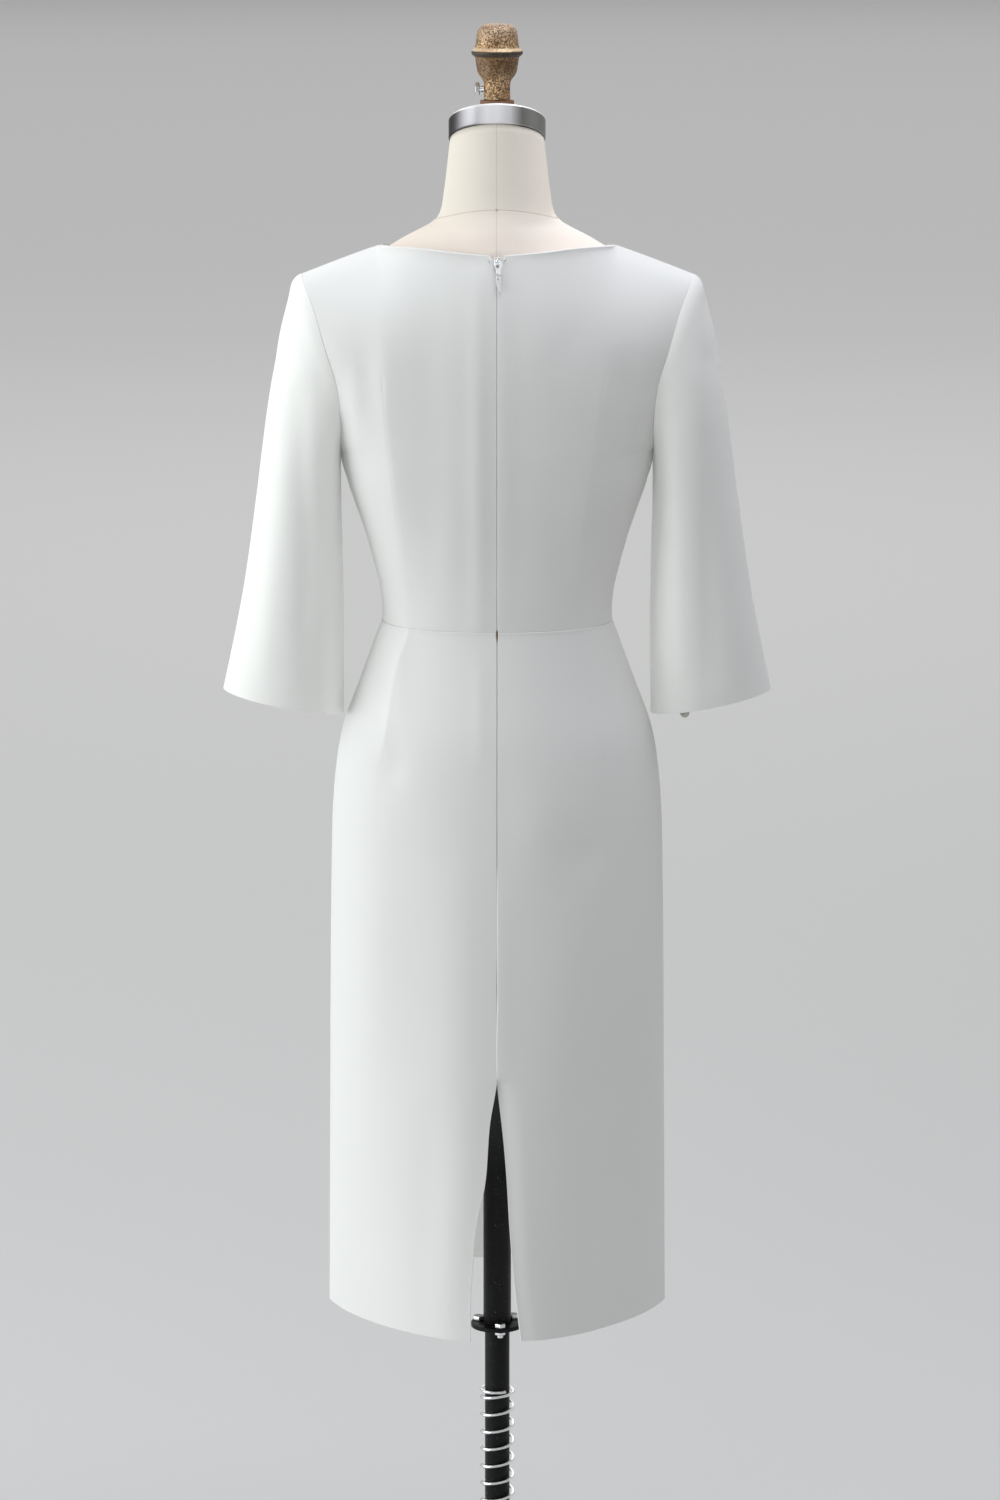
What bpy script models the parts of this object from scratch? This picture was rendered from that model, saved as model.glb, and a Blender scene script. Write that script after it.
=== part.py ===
"""A white sheath dress on a limbless dress form with its stand.

The dress's back faces -Y and its left is at -X. The origin is on the floor, on the pole's axis. Heights
in the tables are millimetres above the waist seam. The dress is a set of cut panels: each one is a grid
of points on its outer face, and its wall is that grid moved in by the cloth's thickness.
"""

import math

import bmesh
import bpy
import numpy as np
from mathutils import Vector
from mathutils.bvhtree import BVHTree

MM = 0.001
WAIST = 1.080
WALL = 1.5 * MM
SEAM = 0.3 * MM

# Stand heights above the floor
PLATE_RADIUS = 0.200
PLATE_THICK = 0.014
HUB_TOP = 0.145
HUB_RADIUS = 0.026
POLE_RADIUS = 0.0125
POLE_BOTTOM = 0.062
TUBE_RADIUS = 0.0140
FLANGE_RADIUS = 0.0265
FLANGE_TOP = 0.3595
FLANGE_THICK = 0.004
SPRING_TOP = 0.2915
FORM_BOTTOM = 0.760
CAP_AXIS = 1.5705
CAP_THICK = 0.020
CAP_SLOPE = math.tan(math.radians(21.6))
FINIAL_BOTTOM = 1.5885

# Places on the dress, millimetres above the waist seam
UNDERARM = 168.0
TIP = 340.5
HEM = -696.0
ZIP_END = -229
NECK_POINT_X = 116.0
NECK_POINT = 368.5
SLIDER = 359.8
NECK_BASE = 407
HALF_SEAM = SEAM / MM / 2

# How finely each grid is divided
LOW_ROWS = 6
ARMHOLE_STEP = 20
CENTRE_COLUMNS = 5
SIDE_COLUMNS = 6
FIGURE_COLUMNS = 36
FIGURE_CROWDING = 0.3
SKIRT_BACK_ROWS = (
    0, -4, -20, -36, -71, -101, -142, -189, -229, -300, -370, -436, -476, -508, -544, -577, -608, -658, -696,
)
SKIRT_FRONT_ROWS = (0, -4, -20, -36, -71, -101, -142, -189, -271, -380, -491, -600, -696)
SLEEVE_ROWS = np.array([0, 0.012, 0.045, 0.11, 0.2, 0.32, 0.46, 0.6, 0.74, 0.88, 1.0])
FIGURE_HEIGHTS = (
    -320, -300, -245, -190, -130, -80, -40, 0, 40, 85, 127, 165, 200, 240, 275, 300, 318, 331, 340, 348,
    356, 364, 372, 381, 390, 398, 407, 425, 445, 470.2,
)

# How far below the waist, in millimetres, the skirt still has the bodice's squareness
WAIST_BLEND = 90

# How far the form stays inside the cloth: more over the shoulders, where the wall turns
LEAST_CLEAR = 0.75 * MM
SHOULDER_CLEAR_BACK = 1.8 * MM
SHOULDER_CLEAR_FRONT = 2.8 * MM
SHOULDER = WAIST + 0.325

# The zip slider's plate, the room inside its crown, and the pull tab
SLIDER_OUT = 0.6 * MM
PLATE_OUT = 1.2 * MM
CROWN_OPEN = 1.7 * MM
PULL_THICK = 1.0 * MM


def smooth(keys, values, at):
    """A smooth curve through the points, with no overshoot between them, read at the given keys."""
    keys, values, at = (np.asarray(each, float) for each in (keys, values, at))
    step = np.diff(keys)
    slope = np.diff(values) / step
    bend = np.zeros_like(values)
    bend[0], bend[-1] = slope[0], slope[-1]
    turning = slope[:-1] * slope[1:] > 0
    before, after = 2 * step[1:] + step[:-1], step[1:] + 2 * step[:-1]
    safe = np.where(turning, slope[:-1], 1), np.where(turning, slope[1:], 1)
    bend[1:-1] = np.where(turning, (before + after) / (before / safe[0] + after / safe[1]), 0)
    i = np.clip(np.searchsorted(keys, at, side="right") - 1, 0, len(step) - 1)
    t = np.clip((at - keys[i]) / step[i], 0, 1)
    rise = values[i + 1] - values[i]
    start, end = step[i] * bend[i], step[i] * bend[i + 1]
    return values[i] + t * start + t**2 * (3 * rise - 2 * start - end) + t**3 * (start + end - 2 * rise)


class Table:
    """Rows of sizes in millimetres with named columns, read as smooth curves along the first one."""

    def __init__(self, columns, rows):
        self.columns = columns.split()
        self.rows = np.array(rows, float)

    def at(self, column, key):
        return smooth(self.rows[:, 0], self.rows[:, self.columns.index(column)], key)


# "pointed" is how far the section has turned from an oval into two arcs, from 0 to 1
SKIRT = Table("height half_width back front pointed", [
    [-696, 169.6, 151.0, 151.0, 1.0],
    [-491, 167.5, 138.0, 136.0, 0.5],
    [-271, 165.0, 124.0, 118.0, 0.0],
    [-189, 163.0, 117.5, 110.0, 0.0],
    [-142, 159.0, 113.0, 106.0, 0.0],
    [-101, 151.0, 107.0, 102.0, 0.0],
    [-71, 140.0, 100.0, 98.0, 0.0],
    [-36, 127.0, 91.5, 93.0, 0.0],
    [-4, 115.0, 84.0, 88.5, 0.0],
    [0, 113.2, 83.2, 88.0, 0.0],
])
SIDE_SEAM = Table("height half_width", [
    [0, 113.0], [20, 113.6], [51, 119.6], [88, 129.6], [127, 143.0], [159, 152.0], [168, 153.0],
])
CENTRE_BACK = Table("height depth", [
    [0, 83.0], [60, 85.5], [127, 92.0], [180, 96.5], [235, 98.0], [290, 94.5], [330, 87.0], [365.5, 76.0],
])
CENTRE_FRONT = Table("height depth", [
    [0, 88.0], [40, 91.5], [80, 99.0], [127, 110.5], [165, 118.0], [195, 119.5], [225, 116.5],
    [260, 107.5], [300, 93.0], [334, 80.0],
])
ARMHOLE = Table("height half_width", [
    [168, 153.0], [190, 151.8], [208.5, 152.4], [241.5, 156.4], [268.5, 165.0], [306, 176.3], [340.5, 190.6],
])
DART = Table("height back front", [
    [-696, 128.0, 120.0],
    [-121.5, 106.4, 100.0],
    [0, 82.4, 80.0],
    [239.6, 106.2, 92.0],
    [368.5, 116.0, 116.0],
])
VENT = Table("height left right", [
    [-696, 26.8, 24.7],
    [-658, 26.4, 20.0],
    [-608, 23.1, 15.0],
    [-577, 20.0, 12.6],
    [-544, 13.0, 10.6],
    [-508, 9.4, 7.8],
    [-476, 6.8, 4.4],
    [-436, 0.15, 0.15],
    [0, 0.15, 0.15],
])
SLEEVE_OUTER = Table("height out", [
    [-68.5, 270.5], [24, 251.0], [116, 237.0], [201, 226.0], [279, 212.6], [322, 202.6], [336, 197.2],
    [340.5, 190.9],
])
SLEEVE_INNER = Table("height out", [
    [-92.5, 151.6], [0, 151.8], [60, 152.4], [120, 153.9], [150, 153.9], [168, 153.3],
])
SLEEVE_DEPTH = Table("along back front", [
    [0, 56.0, 50.0], [0.3, 52.0, 50.0], [0.6, 50.0, 50.0], [1.0, 50.0, 51.0],
])
FIGURE = Table("height half_width back front square", [
    [-320, 151.0, 106.0, 99.0, 0],
    [-300, 157.0, 110.0, 103.0, 0],
    [-200, 163.0, 113.0, 106.0, 0],
    [-120, 153.0, 106.0, 99.0, 0],
    [-60, 131.0, 93.0, 91.5, 0],
    [0, 108.5, 79.0, 83.0, 0],
    [60, 117.0, 81.0, 91.0, 2],
    [127, 138.0, 87.5, 110.5, 7],
    [170, 147.0, 91.5, 124.0, 8],
    [235, 152.0, 93.5, 114.0, 5],
    [290, 166.0, 90.0, 91.0, 0],
    [330, 183.0, 82.5, 75.0, -6],
    [345, 179.0, 78.5, 68.0, -10],
    [366, 112.0, 71.5, 58.0, -14],
    [380, 84.0, 66.5, 54.0, -10],
    [392, 60.5, 61.0, 51.5, -4],
    [400, 55.0, 57.0, 50.5, 0],
    [407, 53.5, 54.5, 50.0, 0],
    [425, 51.0, 51.5, 49.0, 0],
    [445, 48.6, 49.0, 47.5, 0],
    [470.2, 45.7, 46.5, 46.0, 0],
])

WHITE_CREPE = ("white_crepe", (0.80, 0.82, 0.80), 0.62, 0.0)
ZIP_WHITE = ("zip_white", (0.78, 0.79, 0.78), 0.40, 0.0)
FORM_LINEN = ("form_linen", (0.76, 0.70, 0.60), 0.85, 0.0)
BRUSHED_STEEL = ("brushed_steel", (0.45, 0.46, 0.47), 0.35, 1.0)
BRONZE_CAST = ("bronze_cast", (0.34, 0.24, 0.15), 0.60, 0.3)
ZINC = ("zinc_plate", (0.62, 0.63, 0.64), 0.32, 1.0)
BLACK_PAINT = ("black_paint", (0.02, 0.02, 0.022), 0.38, 0.0)
CHROME = ("chrome", (0.75, 0.76, 0.78), 0.12, 1.0)


def material(recipe):
    name, colour, roughness, metallic = recipe
    if name in bpy.data.materials:
        return bpy.data.materials[name]
    made = bpy.data.materials.new(name)
    made.use_nodes = True
    surface = made.node_tree.nodes["Principled BSDF"]
    surface.inputs["Base Color"].default_value = (*colour, 1)
    surface.inputs["Roughness"].default_value = roughness
    surface.inputs["Metallic"].default_value = metallic
    return made


def add_mesh(name, points, faces, recipe, sharp=40):
    """One object from points in metres, its faces turned outward and its round stretches smooth."""
    mesh = bpy.data.meshes.new(name)
    mesh.from_pydata(np.asarray(points).tolist(), [], faces)
    shape = bmesh.new()
    shape.from_mesh(mesh)
    bmesh.ops.recalc_face_normals(shape, faces=shape.faces)
    shape.to_mesh(mesh)
    shape.free()
    mesh.shade_smooth()
    mesh.set_sharp_from_angle(angle=math.radians(sharp))
    mesh.materials.append(material(recipe))
    made = bpy.data.objects.new(name, mesh)
    bpy.context.scene.collection.objects.link(made)
    return made


def unit(vectors):
    return vectors / np.linalg.norm(vectors, axis=-1, keepdims=True)


def grid_faces(rows, columns, first=0, looped=False):
    """The quads of a grid whose points are numbered along each row, from the number first."""
    wide = columns if looped else columns - 1
    faces = []
    for row in range(rows - 1):
        for column in range(wide):
            beside = (column + 1) % columns
            low, high = first + row * columns, first + (row + 1) * columns
            faces.append((low + column, low + beside, high + beside, high + column))
    return faces


def grid_normals(grid, looped=False):
    """The outward direction at each point of a grid, from its neighbours along the row and the column."""
    if looped:
        along = np.roll(grid, -1, axis=1) - np.roll(grid, 1, axis=1)
    else:
        along = np.gradient(grid, axis=1)
    up = np.gradient(grid, axis=0)
    normals = unit(np.cross(along, up))
    middle = grid.mean(axis=(0, 1)) if not looped else grid.mean(axis=1, keepdims=True)
    outward = grid - (middle * (1, 0, 1) if not looped else middle)
    return normals * np.sign((normals * outward).sum())


def wall(name, outer, inner, recipe=WHITE_CREPE, looped=False):
    """A closed cloth wall between two grids of the same shape."""
    rows, columns = outer.shape[:2]
    count = rows * columns
    faces = grid_faces(rows, columns, 0, looped) + grid_faces(rows, columns, count, looped)
    last_row = (rows - 1) * columns
    for column in range(columns if looped else columns - 1):
        beside = (column + 1) % columns
        for start in (0, last_row):
            faces.append((start + column, start + beside, count + start + beside, count + start + column))
    if not looped:
        for row in range(rows - 1):
            for edge in (0, columns - 1):
                low, high = row * columns + edge, (row + 1) * columns + edge
                faces.append((low, high, count + high, count + low))
    points = np.concatenate([outer.reshape(-1, 3), inner.reshape(-1, 3)])
    return add_mesh(name, points, faces, recipe)


def loft(name, rings, recipe, sharp=40):
    """A closed body through rings of the same number of points, with flat ends."""
    rings = np.array(rings)
    count = rings.shape[1]
    faces = grid_faces(len(rings), count, 0, looped=True)
    faces.append(tuple(range(count)))
    faces.append(tuple(range((len(rings) - 1) * count, len(rings) * count)))
    return add_mesh(name, rings.reshape(-1, 3), faces, recipe, sharp)


def mirrored(grid):
    return grid * (-1, 1, 1)


def whole_front(half):
    """A front panel cut in one: its right half and that half's mirror image, meeting at the centre line."""
    return np.concatenate([mirrored(half)[:, :0:-1], half], axis=1)


def to_world(grid_mm):
    return grid_mm * MM + (0, 0, WAIST)


# Bodice


def armhole_loop(angle, side):
    """A point of the right armhole seam: angle 0 is the shoulder tip, 180 the underarm, side -1 the back."""
    turn = np.radians(angle)
    height = (TIP + UNDERARM) / 2 + (TIP - UNDERARM) / 2 * np.cos(turn)
    depth = SLEEVE_DEPTH.rows[0, 1] if side < 0 else SLEEVE_DEPTH.rows[0, 2]
    narrow = 0 if side < 0 else 5
    out = ARMHOLE.at("half_width", height) - narrow * np.sin(turn) ** 2
    return np.stack([out, side * depth * np.sin(turn), height], axis=-1)


def column_angles(dart_angle, full_angle, first_angle=0.0):
    """Angles round a section, with one column on the dart line."""
    inner = np.linspace(0, 1, CENTRE_COLUMNS + 1)[:-1]
    outer = np.linspace(0, 1, SIDE_COLUMNS + 1)
    inner = first_angle + (dart_angle - first_angle) * inner
    return np.concatenate([inner, dart_angle + (full_angle - dart_angle) * outer])


def bodice_top(side):
    """A half panel's top edge: the neckline from the centre to the neck point, then the shoulder seam."""
    turn = np.linspace(0, np.pi / 2, CENTRE_COLUMNS + 1)[:-1]
    table = CENTRE_BACK if side < 0 else CENTRE_FRONT
    centre_height, depth = table.rows[-1]
    lift = NECK_POINT - centre_height
    swell = 3.5 if side < 0 else 0
    neckline = np.stack([
        NECK_POINT_X * np.sin(turn),
        side * depth * np.cos(turn),
        centre_height + lift * np.sin(turn) ** 2 + swell * np.sin(2 * turn) ** 2,
    ], axis=-1)
    along = np.linspace(0, 1, SIDE_COLUMNS + 1)
    tip_x = ARMHOLE.rows[-1, 1]
    shoulder = np.stack([
        NECK_POINT_X + (tip_x - NECK_POINT_X) * along,
        0 * along,
        NECK_POINT + (TIP - NECK_POINT) * along**1.05,
    ], axis=-1)
    return np.concatenate([neckline, shoulder])


def blurred(shift, times=6):
    """The shift of each column, evened out along the row, with its two ends kept."""
    for _ in range(times):
        middle = (shift[:-2] + 2 * shift[1:-1] + shift[2:]) / 4
        shift = np.concatenate([shift[:1], middle, shift[-1:]])
    return shift


def bust(out, height):
    """The fullness that the bust darts give the front."""
    return 5 * np.exp(-(((out - 84) / 42) ** 2) - ((height - 178) / 62) ** 2)


def squareness(side, height):
    """How square a section of the bodice is: the cloth spans the front flat from bust to bust."""
    if side < 0:
        return 0.03 + 0.02 * math.sin(math.pi * min(height / 250, 1))
    return 0.03 + 0.06 * math.exp(-(((height - 175) / 75) ** 2))


def oval_depth(angle, square):
    """How deep a rounded oval is at this angle from the centre line, as a share of its half depth."""
    return (np.cos(angle) - square * np.cos(3 * angle)) / (1 - square)


def bodice_half(side):
    """The right half of the back (side -1) or the front (side 1), rows from the waist to the top edge.

    Below the underarm a row is a level quarter of an oval, from the centre line to the side seam. Above it
    the row is the stretch of such an oval that ends on the armhole. Near the top the rows bend onto the top
    edge, round over the shoulder.
    """
    table = CENTRE_BACK if side < 0 else CENTRE_FRONT
    top = table.rows[-1, 0]
    low = np.linspace(0, UNDERARM, LOW_ROWS + 1)[:-1]
    armhole = np.arange(180, -1, -ARMHOLE_STEP)
    rise = (1 + np.cos(np.radians(armhole))) / 2
    centre_heights = np.concatenate([low, UNDERARM + (top - UNDERARM) * rise])
    edges = np.stack([SIDE_SEAM.at("half_width", low), 0 * low, low], axis=-1)
    edges = np.concatenate([edges, armhole_loop(armhole, side)])
    rises = np.concatenate([0 * low, rise])
    top_edge = bodice_top(side)
    rows = []
    for centre_height, edge in zip(centre_heights, edges):
        depth = float(table.at("depth", centre_height))
        square = squareness(side, centre_height)
        reached = abs(edge[1]) / depth
        quarter = np.linspace(math.pi / 2, 0, 91)
        full = float(np.interp(reached, oval_depth(quarter, square), quarter))
        dart_x = DART.at("back" if side < 0 else "front", centre_height)
        dart_angle = math.asin(float(dart_x) / edge[0] * math.sin(full))
        angle = column_angles(dart_angle, full)
        round_part = oval_depth(angle, square)
        out = edge[0] * np.sin(angle) / math.sin(full)
        height = centre_height + (edge[2] - centre_height) * (out / edge[0]) ** 2
        into = side * depth * round_part
        if side > 0:
            inside = np.clip((round_part - reached) / (1 - reached), 0, 1)
            into = into + bust(out, height) * np.sqrt(inside)
        rows.append(np.stack([out, into, height], axis=-1))
    grid = np.array(rows)
    near_top = np.clip((rises - 0.3) / 0.7, 0, 1)
    bend = (1 - np.sqrt(1 - near_top**3))[:, None, None]
    shift = top_edge - grid[-1]
    grid += bend * (bend * shift + (1 - bend) * blurred(shift))
    grid[0, :, 2] += HALF_SEAM
    on_fold = np.abs(grid[:, :, 1]) < HALF_SEAM
    grid[on_fold, 1] = side * HALF_SEAM
    if side < 0:
        grid[:, 0, 0] = HALF_SEAM
    return to_world(grid)


def bodice_normals(grid, cut_in_one):
    """Outward directions, square to the seams that two panels share, so that the walls don't cross there."""
    normals = grid_normals(grid)
    if cut_in_one:
        middle = grid.shape[1] // 2
        normals[:, middle, 0] = 0
        normals[: LOW_ROWS + 1, 0, 1] = 0
        shoulder = [*range(SIDE_COLUMNS + 1), *range(-SIDE_COLUMNS - 1, 0)]
    else:
        normals[:, 0, 0] = 0
        shoulder = range(-SIDE_COLUMNS - 1, 0)
    normals[: LOW_ROWS + 1, -1, 1] = 0
    normals[-1, list(shoulder), 1] = 0
    return unit(normals)


# Skirt


def skirt_depth(angle, square, pointed):
    """How deep the skirt is at this angle, as a share of its half depth.

    At the hip it is an oval. Below, nothing holds the cloth out, and towards the hem the back and the
    front become two flat arcs that meet at the side seams.
    """
    out = np.sin(angle)
    arc = 1 - 0.87 * out**2 - 0.13 * out**14
    return (1 - pointed) * oval_depth(angle, square) + pointed * arc


def skirt_half(side, heights, vent_side=None):
    """A half of the skirt at x > 0, rows from the waist to the hem. A back half stops at its vent edge."""
    rows = []
    for height in heights:
        square = squareness(side, 0) * max(0.0, 1 + height / WAIST_BLEND) ** 2
        half_width = float(SKIRT.at("half_width", height))
        depth = float(SKIRT.at("back" if side < 0 else "front", height))
        start = float(VENT.at(vent_side, height)) if vent_side else 0.0
        dart_x = float(DART.at("back" if side < 0 else "front", height))
        angle = column_angles(
            math.asin(dart_x / half_width), math.pi / 2, math.asin(start / half_width)
        )
        out = half_width * np.sin(angle)
        pointed = float(SKIRT.at("pointed", height))
        into = side * (HALF_SEAM + (depth - HALF_SEAM) * skirt_depth(angle, square, pointed))
        rows.append(np.stack([out, into, 0 * out + min(height, -HALF_SEAM)], axis=-1))
    return to_world(np.array(rows))


def skirt_normals(grid, cut_in_one):
    normals = grid_normals(grid)
    if cut_in_one:
        normals[:, grid.shape[1] // 2, 0] = 0
        normals[:, 0, 1] = 0
    else:
        normals[:, 0, 0] = 0
    normals[:, -1, 1] = 0
    normals[-1, :, 2] = 0
    return unit(normals)


# Sleeve


def sleeve_grid(armhole_ring):
    """The right sleeve's outer face, rings from the armhole to the hem.

    A ring is an oval whose ends lie on the sleeve's outer and inner lines, so the rings turn from upright
    at the armhole to nearly level at the hem. Near the armhole they follow its loop.
    """
    angle = np.radians(np.arange(0, 360, ARMHOLE_STEP))
    top, hem_out = SLEEVE_OUTER.rows[-1, 0], SLEEVE_OUTER.rows[0, 0]
    hem_in = SLEEVE_INNER.rows[0, 0]
    rings = []
    for along in SLEEVE_ROWS:
        outer_height = top + (hem_out - top) * along
        inner_height = UNDERARM + (hem_in - UNDERARM) * along
        outer = np.array([float(SLEEVE_OUTER.at("out", outer_height)), 0, outer_height])
        inner = np.array([float(SLEEVE_INNER.at("out", inner_height)), 0, inner_height])
        ring = (outer + inner) / 2 + np.cos(angle)[:, None] * (outer - inner) / 2
        back = float(SLEEVE_DEPTH.at("back", along))
        front = float(SLEEVE_DEPTH.at("front", along))
        ring[:, 1] = -np.where(np.sin(angle) > 0, back, front) * np.sin(angle)
        rings.append(ring)
    grid = to_world(np.array(rings))
    follow = np.clip(1 - SLEEVE_ROWS / 0.4, 0, 1) ** 2
    return grid + follow[:, None, None] * (armhole_ring - grid[0])


def sleeve_walls(back, back_normals, front, front_normals):
    """The right sleeve's outer and inner grids, its first ring one seam's gap outside the bodice's edge."""
    rising = slice(LOW_ROWS, None)
    back_edge, front_edge = back[rising, -1][::-1], front[rising, -1][::-1]
    ring = np.concatenate([back_edge, front_edge[-2:0:-1]])
    ring_normals = np.concatenate([back_normals[rising, -1][::-1], front_normals[rising, -1][::-1][-2:0:-1]])
    ring[:, 1] = np.where(np.abs(ring[:, 1]) < SEAM, 0, ring[:, 1])
    outer = sleeve_grid(ring + (SEAM, 0, 0))
    normals = grid_normals(outer, looped=True)
    upper = np.clip((0.35 + np.cos(np.radians(np.arange(0, 360, ARMHOLE_STEP)))) / 0.7, 0, 1)
    normals[0] = unit(upper[:, None] * ring_normals + (1 - upper[:, None]) * normals[0])
    return outer, outer - WALL * normals


# Dress form


def figure_ring(height):
    """One level ring of the general figure under the dress, its points closest together at the sides."""
    turn = np.arange(FIGURE_COLUMNS) * 2 * np.pi / FIGURE_COLUMNS
    angle = turn - FIGURE_CROWDING * np.sin(2 * turn)
    square = float(FIGURE.at("square", height)) / 100
    back, front = float(FIGURE.at("back", height)), float(FIGURE.at("front", height))
    round_part = (np.sin(angle) + square * np.sin(3 * angle)) / (1 - square)
    into = np.where(round_part > 0, front, back) * round_part
    return np.stack([float(FIGURE.at("half_width", height)) * np.cos(angle), into, 0 * angle + height], -1)


def room_inside(shell, point):
    """How far from the axis the form may reach in this point's direction, clear of the cloth round it."""
    room = math.inf
    over_shoulder = SHOULDER_CLEAR_BACK if point[1] < 0 else SHOULDER_CLEAR_FRONT
    clear = over_shoulder if point[2] > SHOULDER else LEAST_CLEAR
    for beside, above in ((0, 0), (-1.5, 0), (1.5, 0), (0, -2 * MM), (0, 2 * MM)):
        turn = math.atan2(point[1], point[0]) + math.radians(beside)
        outward = Vector((math.cos(turn), math.sin(turn), 0))
        _, normal, _, distance = shell.ray_cast(Vector((0, 0, point[2] + above)), outward)
        if distance is not None:
            room = min(room, distance - clear / max(abs(normal.dot(outward)), 0.2))
    return room


def form_body(shell):
    """The torso and neck: the figure's rings, each point pulled in to lie clear inside the dress."""
    rings = []
    for height in FIGURE_HEIGHTS:
        ring = to_world(figure_ring(height))
        if height > NECK_BASE:
            lean = (height - NECK_BASE) / (FIGURE_HEIGHTS[-1] - NECK_BASE)
            ring[:, 2] -= CAP_SLOPE * lean * ring[:, 1]
        for point in ring:
            reach = math.hypot(point[0], point[1])
            point[:2] *= min(1, room_inside(shell, point) / reach)
        rings.append(ring)
    return loft("form_body", rings, FORM_LINEN)


def dress_shell(grids):
    """The cloth's inner faces, with a plate across each armhole, as one surface that rays can meet."""
    points, faces = [], []
    for grid in grids:
        faces += grid_faces(*grid.shape[:2], first=sum(map(len, points)))
        points.append(grid.reshape(-1, 3))
    return BVHTree.FromPolygons([Vector(p) for p in np.concatenate(points)], faces)


def armhole_plate(ring):
    """A shallow fan from the armhole's edge to a centre, as a two-row grid."""
    closed = np.concatenate([ring, ring[:1]])
    centre = closed.mean(axis=0) + (np.sign(closed[:, 0].mean()) * 0.004, 0, 0)
    return np.array([closed, np.broadcast_to(centre, closed.shape)])


# Turned and lofted hardware


def circle(radius, height, sides=24, centre=(0, 0)):
    angle = np.arange(sides) * 2 * np.pi / sides
    return np.stack([
        centre[0] + radius * np.cos(angle), centre[1] + radius * np.sin(angle), 0 * angle + height,
    ], axis=-1)


def hexagon(across, height, centre=(0, 0)):
    """A hexagon of this width across its flats, as twelve points: its corners and its flats' middles."""
    angle = np.arange(12) * np.pi / 6
    radius = np.where(np.arange(12) % 2 == 0, across / math.sqrt(3), across / 2)
    return np.stack([
        centre[0] + radius * np.cos(angle), centre[1] + radius * np.sin(angle), 0 * angle + height,
    ], axis=-1)


def turned(name, profile, recipe, sides=24, sharp=40):
    return loft(name, [circle(radius, height, sides) for radius, height in profile], recipe, sharp)


def cut(target, cutter):
    """Cuts one object from another and keeps the cutter out of the render."""
    cutter.hide_render = True
    cutter.display_type = "WIRE"
    boolean = target.modifiers.new("cut", "BOOLEAN")
    boolean.operation = "DIFFERENCE"
    boolean.object = cutter


def neck_cap():
    """The metal band and plate on the neck's leaning top."""
    rings = []
    for drop, grow in ((CAP_THICK - SEAM, 0.6), (CAP_THICK - SEAM - 0.001, 1.2), (0.001, 1.2), (0, 0.2)):
        ring = figure_ring(FIGURE_HEIGHTS[-1])
        ring[:, :2] *= 1 + grow / 46
        ring = ring * (MM, MM, 0)
        ring[:, 2] = CAP_AXIS - drop - CAP_SLOPE * ring[:, 1]
        rings.append(ring)
    return loft("neck_cap", rings, BRUSHED_STEEL)


def finial():
    """The cast knob: a stem, a bulb, a ring and a flat dome, with its collar and clamp bolt below."""
    collar_radius = 0.0165
    low = circle(collar_radius, 0)
    low[:, 2] = CAP_AXIS + SEAM - CAP_SLOPE * low[:, 1]
    rings = [low, circle(collar_radius, FINIAL_BOTTOM - SEAM)]
    loft("finial_collar", rings, BRONZE_CAST)
    profile = Table("height radius", [
        [0, 12.9], [12, 12.6], [18, 13.4], [24, 17.2], [29, 19.9], [36, 21.0], [41, 21.3],
        [42.5, 24.4], [46, 24.8], [48.5, 24.0], [50, 19.8], [58, 19.6], [65.5, 19.6], [71, 16.5],
        [73.5, 11.0],
    ])
    rings = [circle(radius * MM, FINIAL_BOTTOM + height * MM) for height, radius in profile.rows]
    loft("finial", rings, BRONZE_CAST, sharp=50)


def finial_bolt():
    """The hex screw in the finial's stem, pointing left."""
    start, head, end = 0.0133, 0.0168, 0.0213
    across = 0.0108
    rings = []
    for radius, hexed, reach in ((0.003, 0, start), (0.003, 0, head), (across, 1, head), (across, 1, end)):
        ring = hexagon(radius, 0) if hexed else circle(radius, 0, 12)
        rings.append(np.stack([0 * ring[:, 0] - reach, ring[:, 0], ring[:, 1] + FINIAL_BOTTOM + 0.0108], -1))
    loft("finial_bolt", rings, ZINC, sharp=25)


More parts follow.
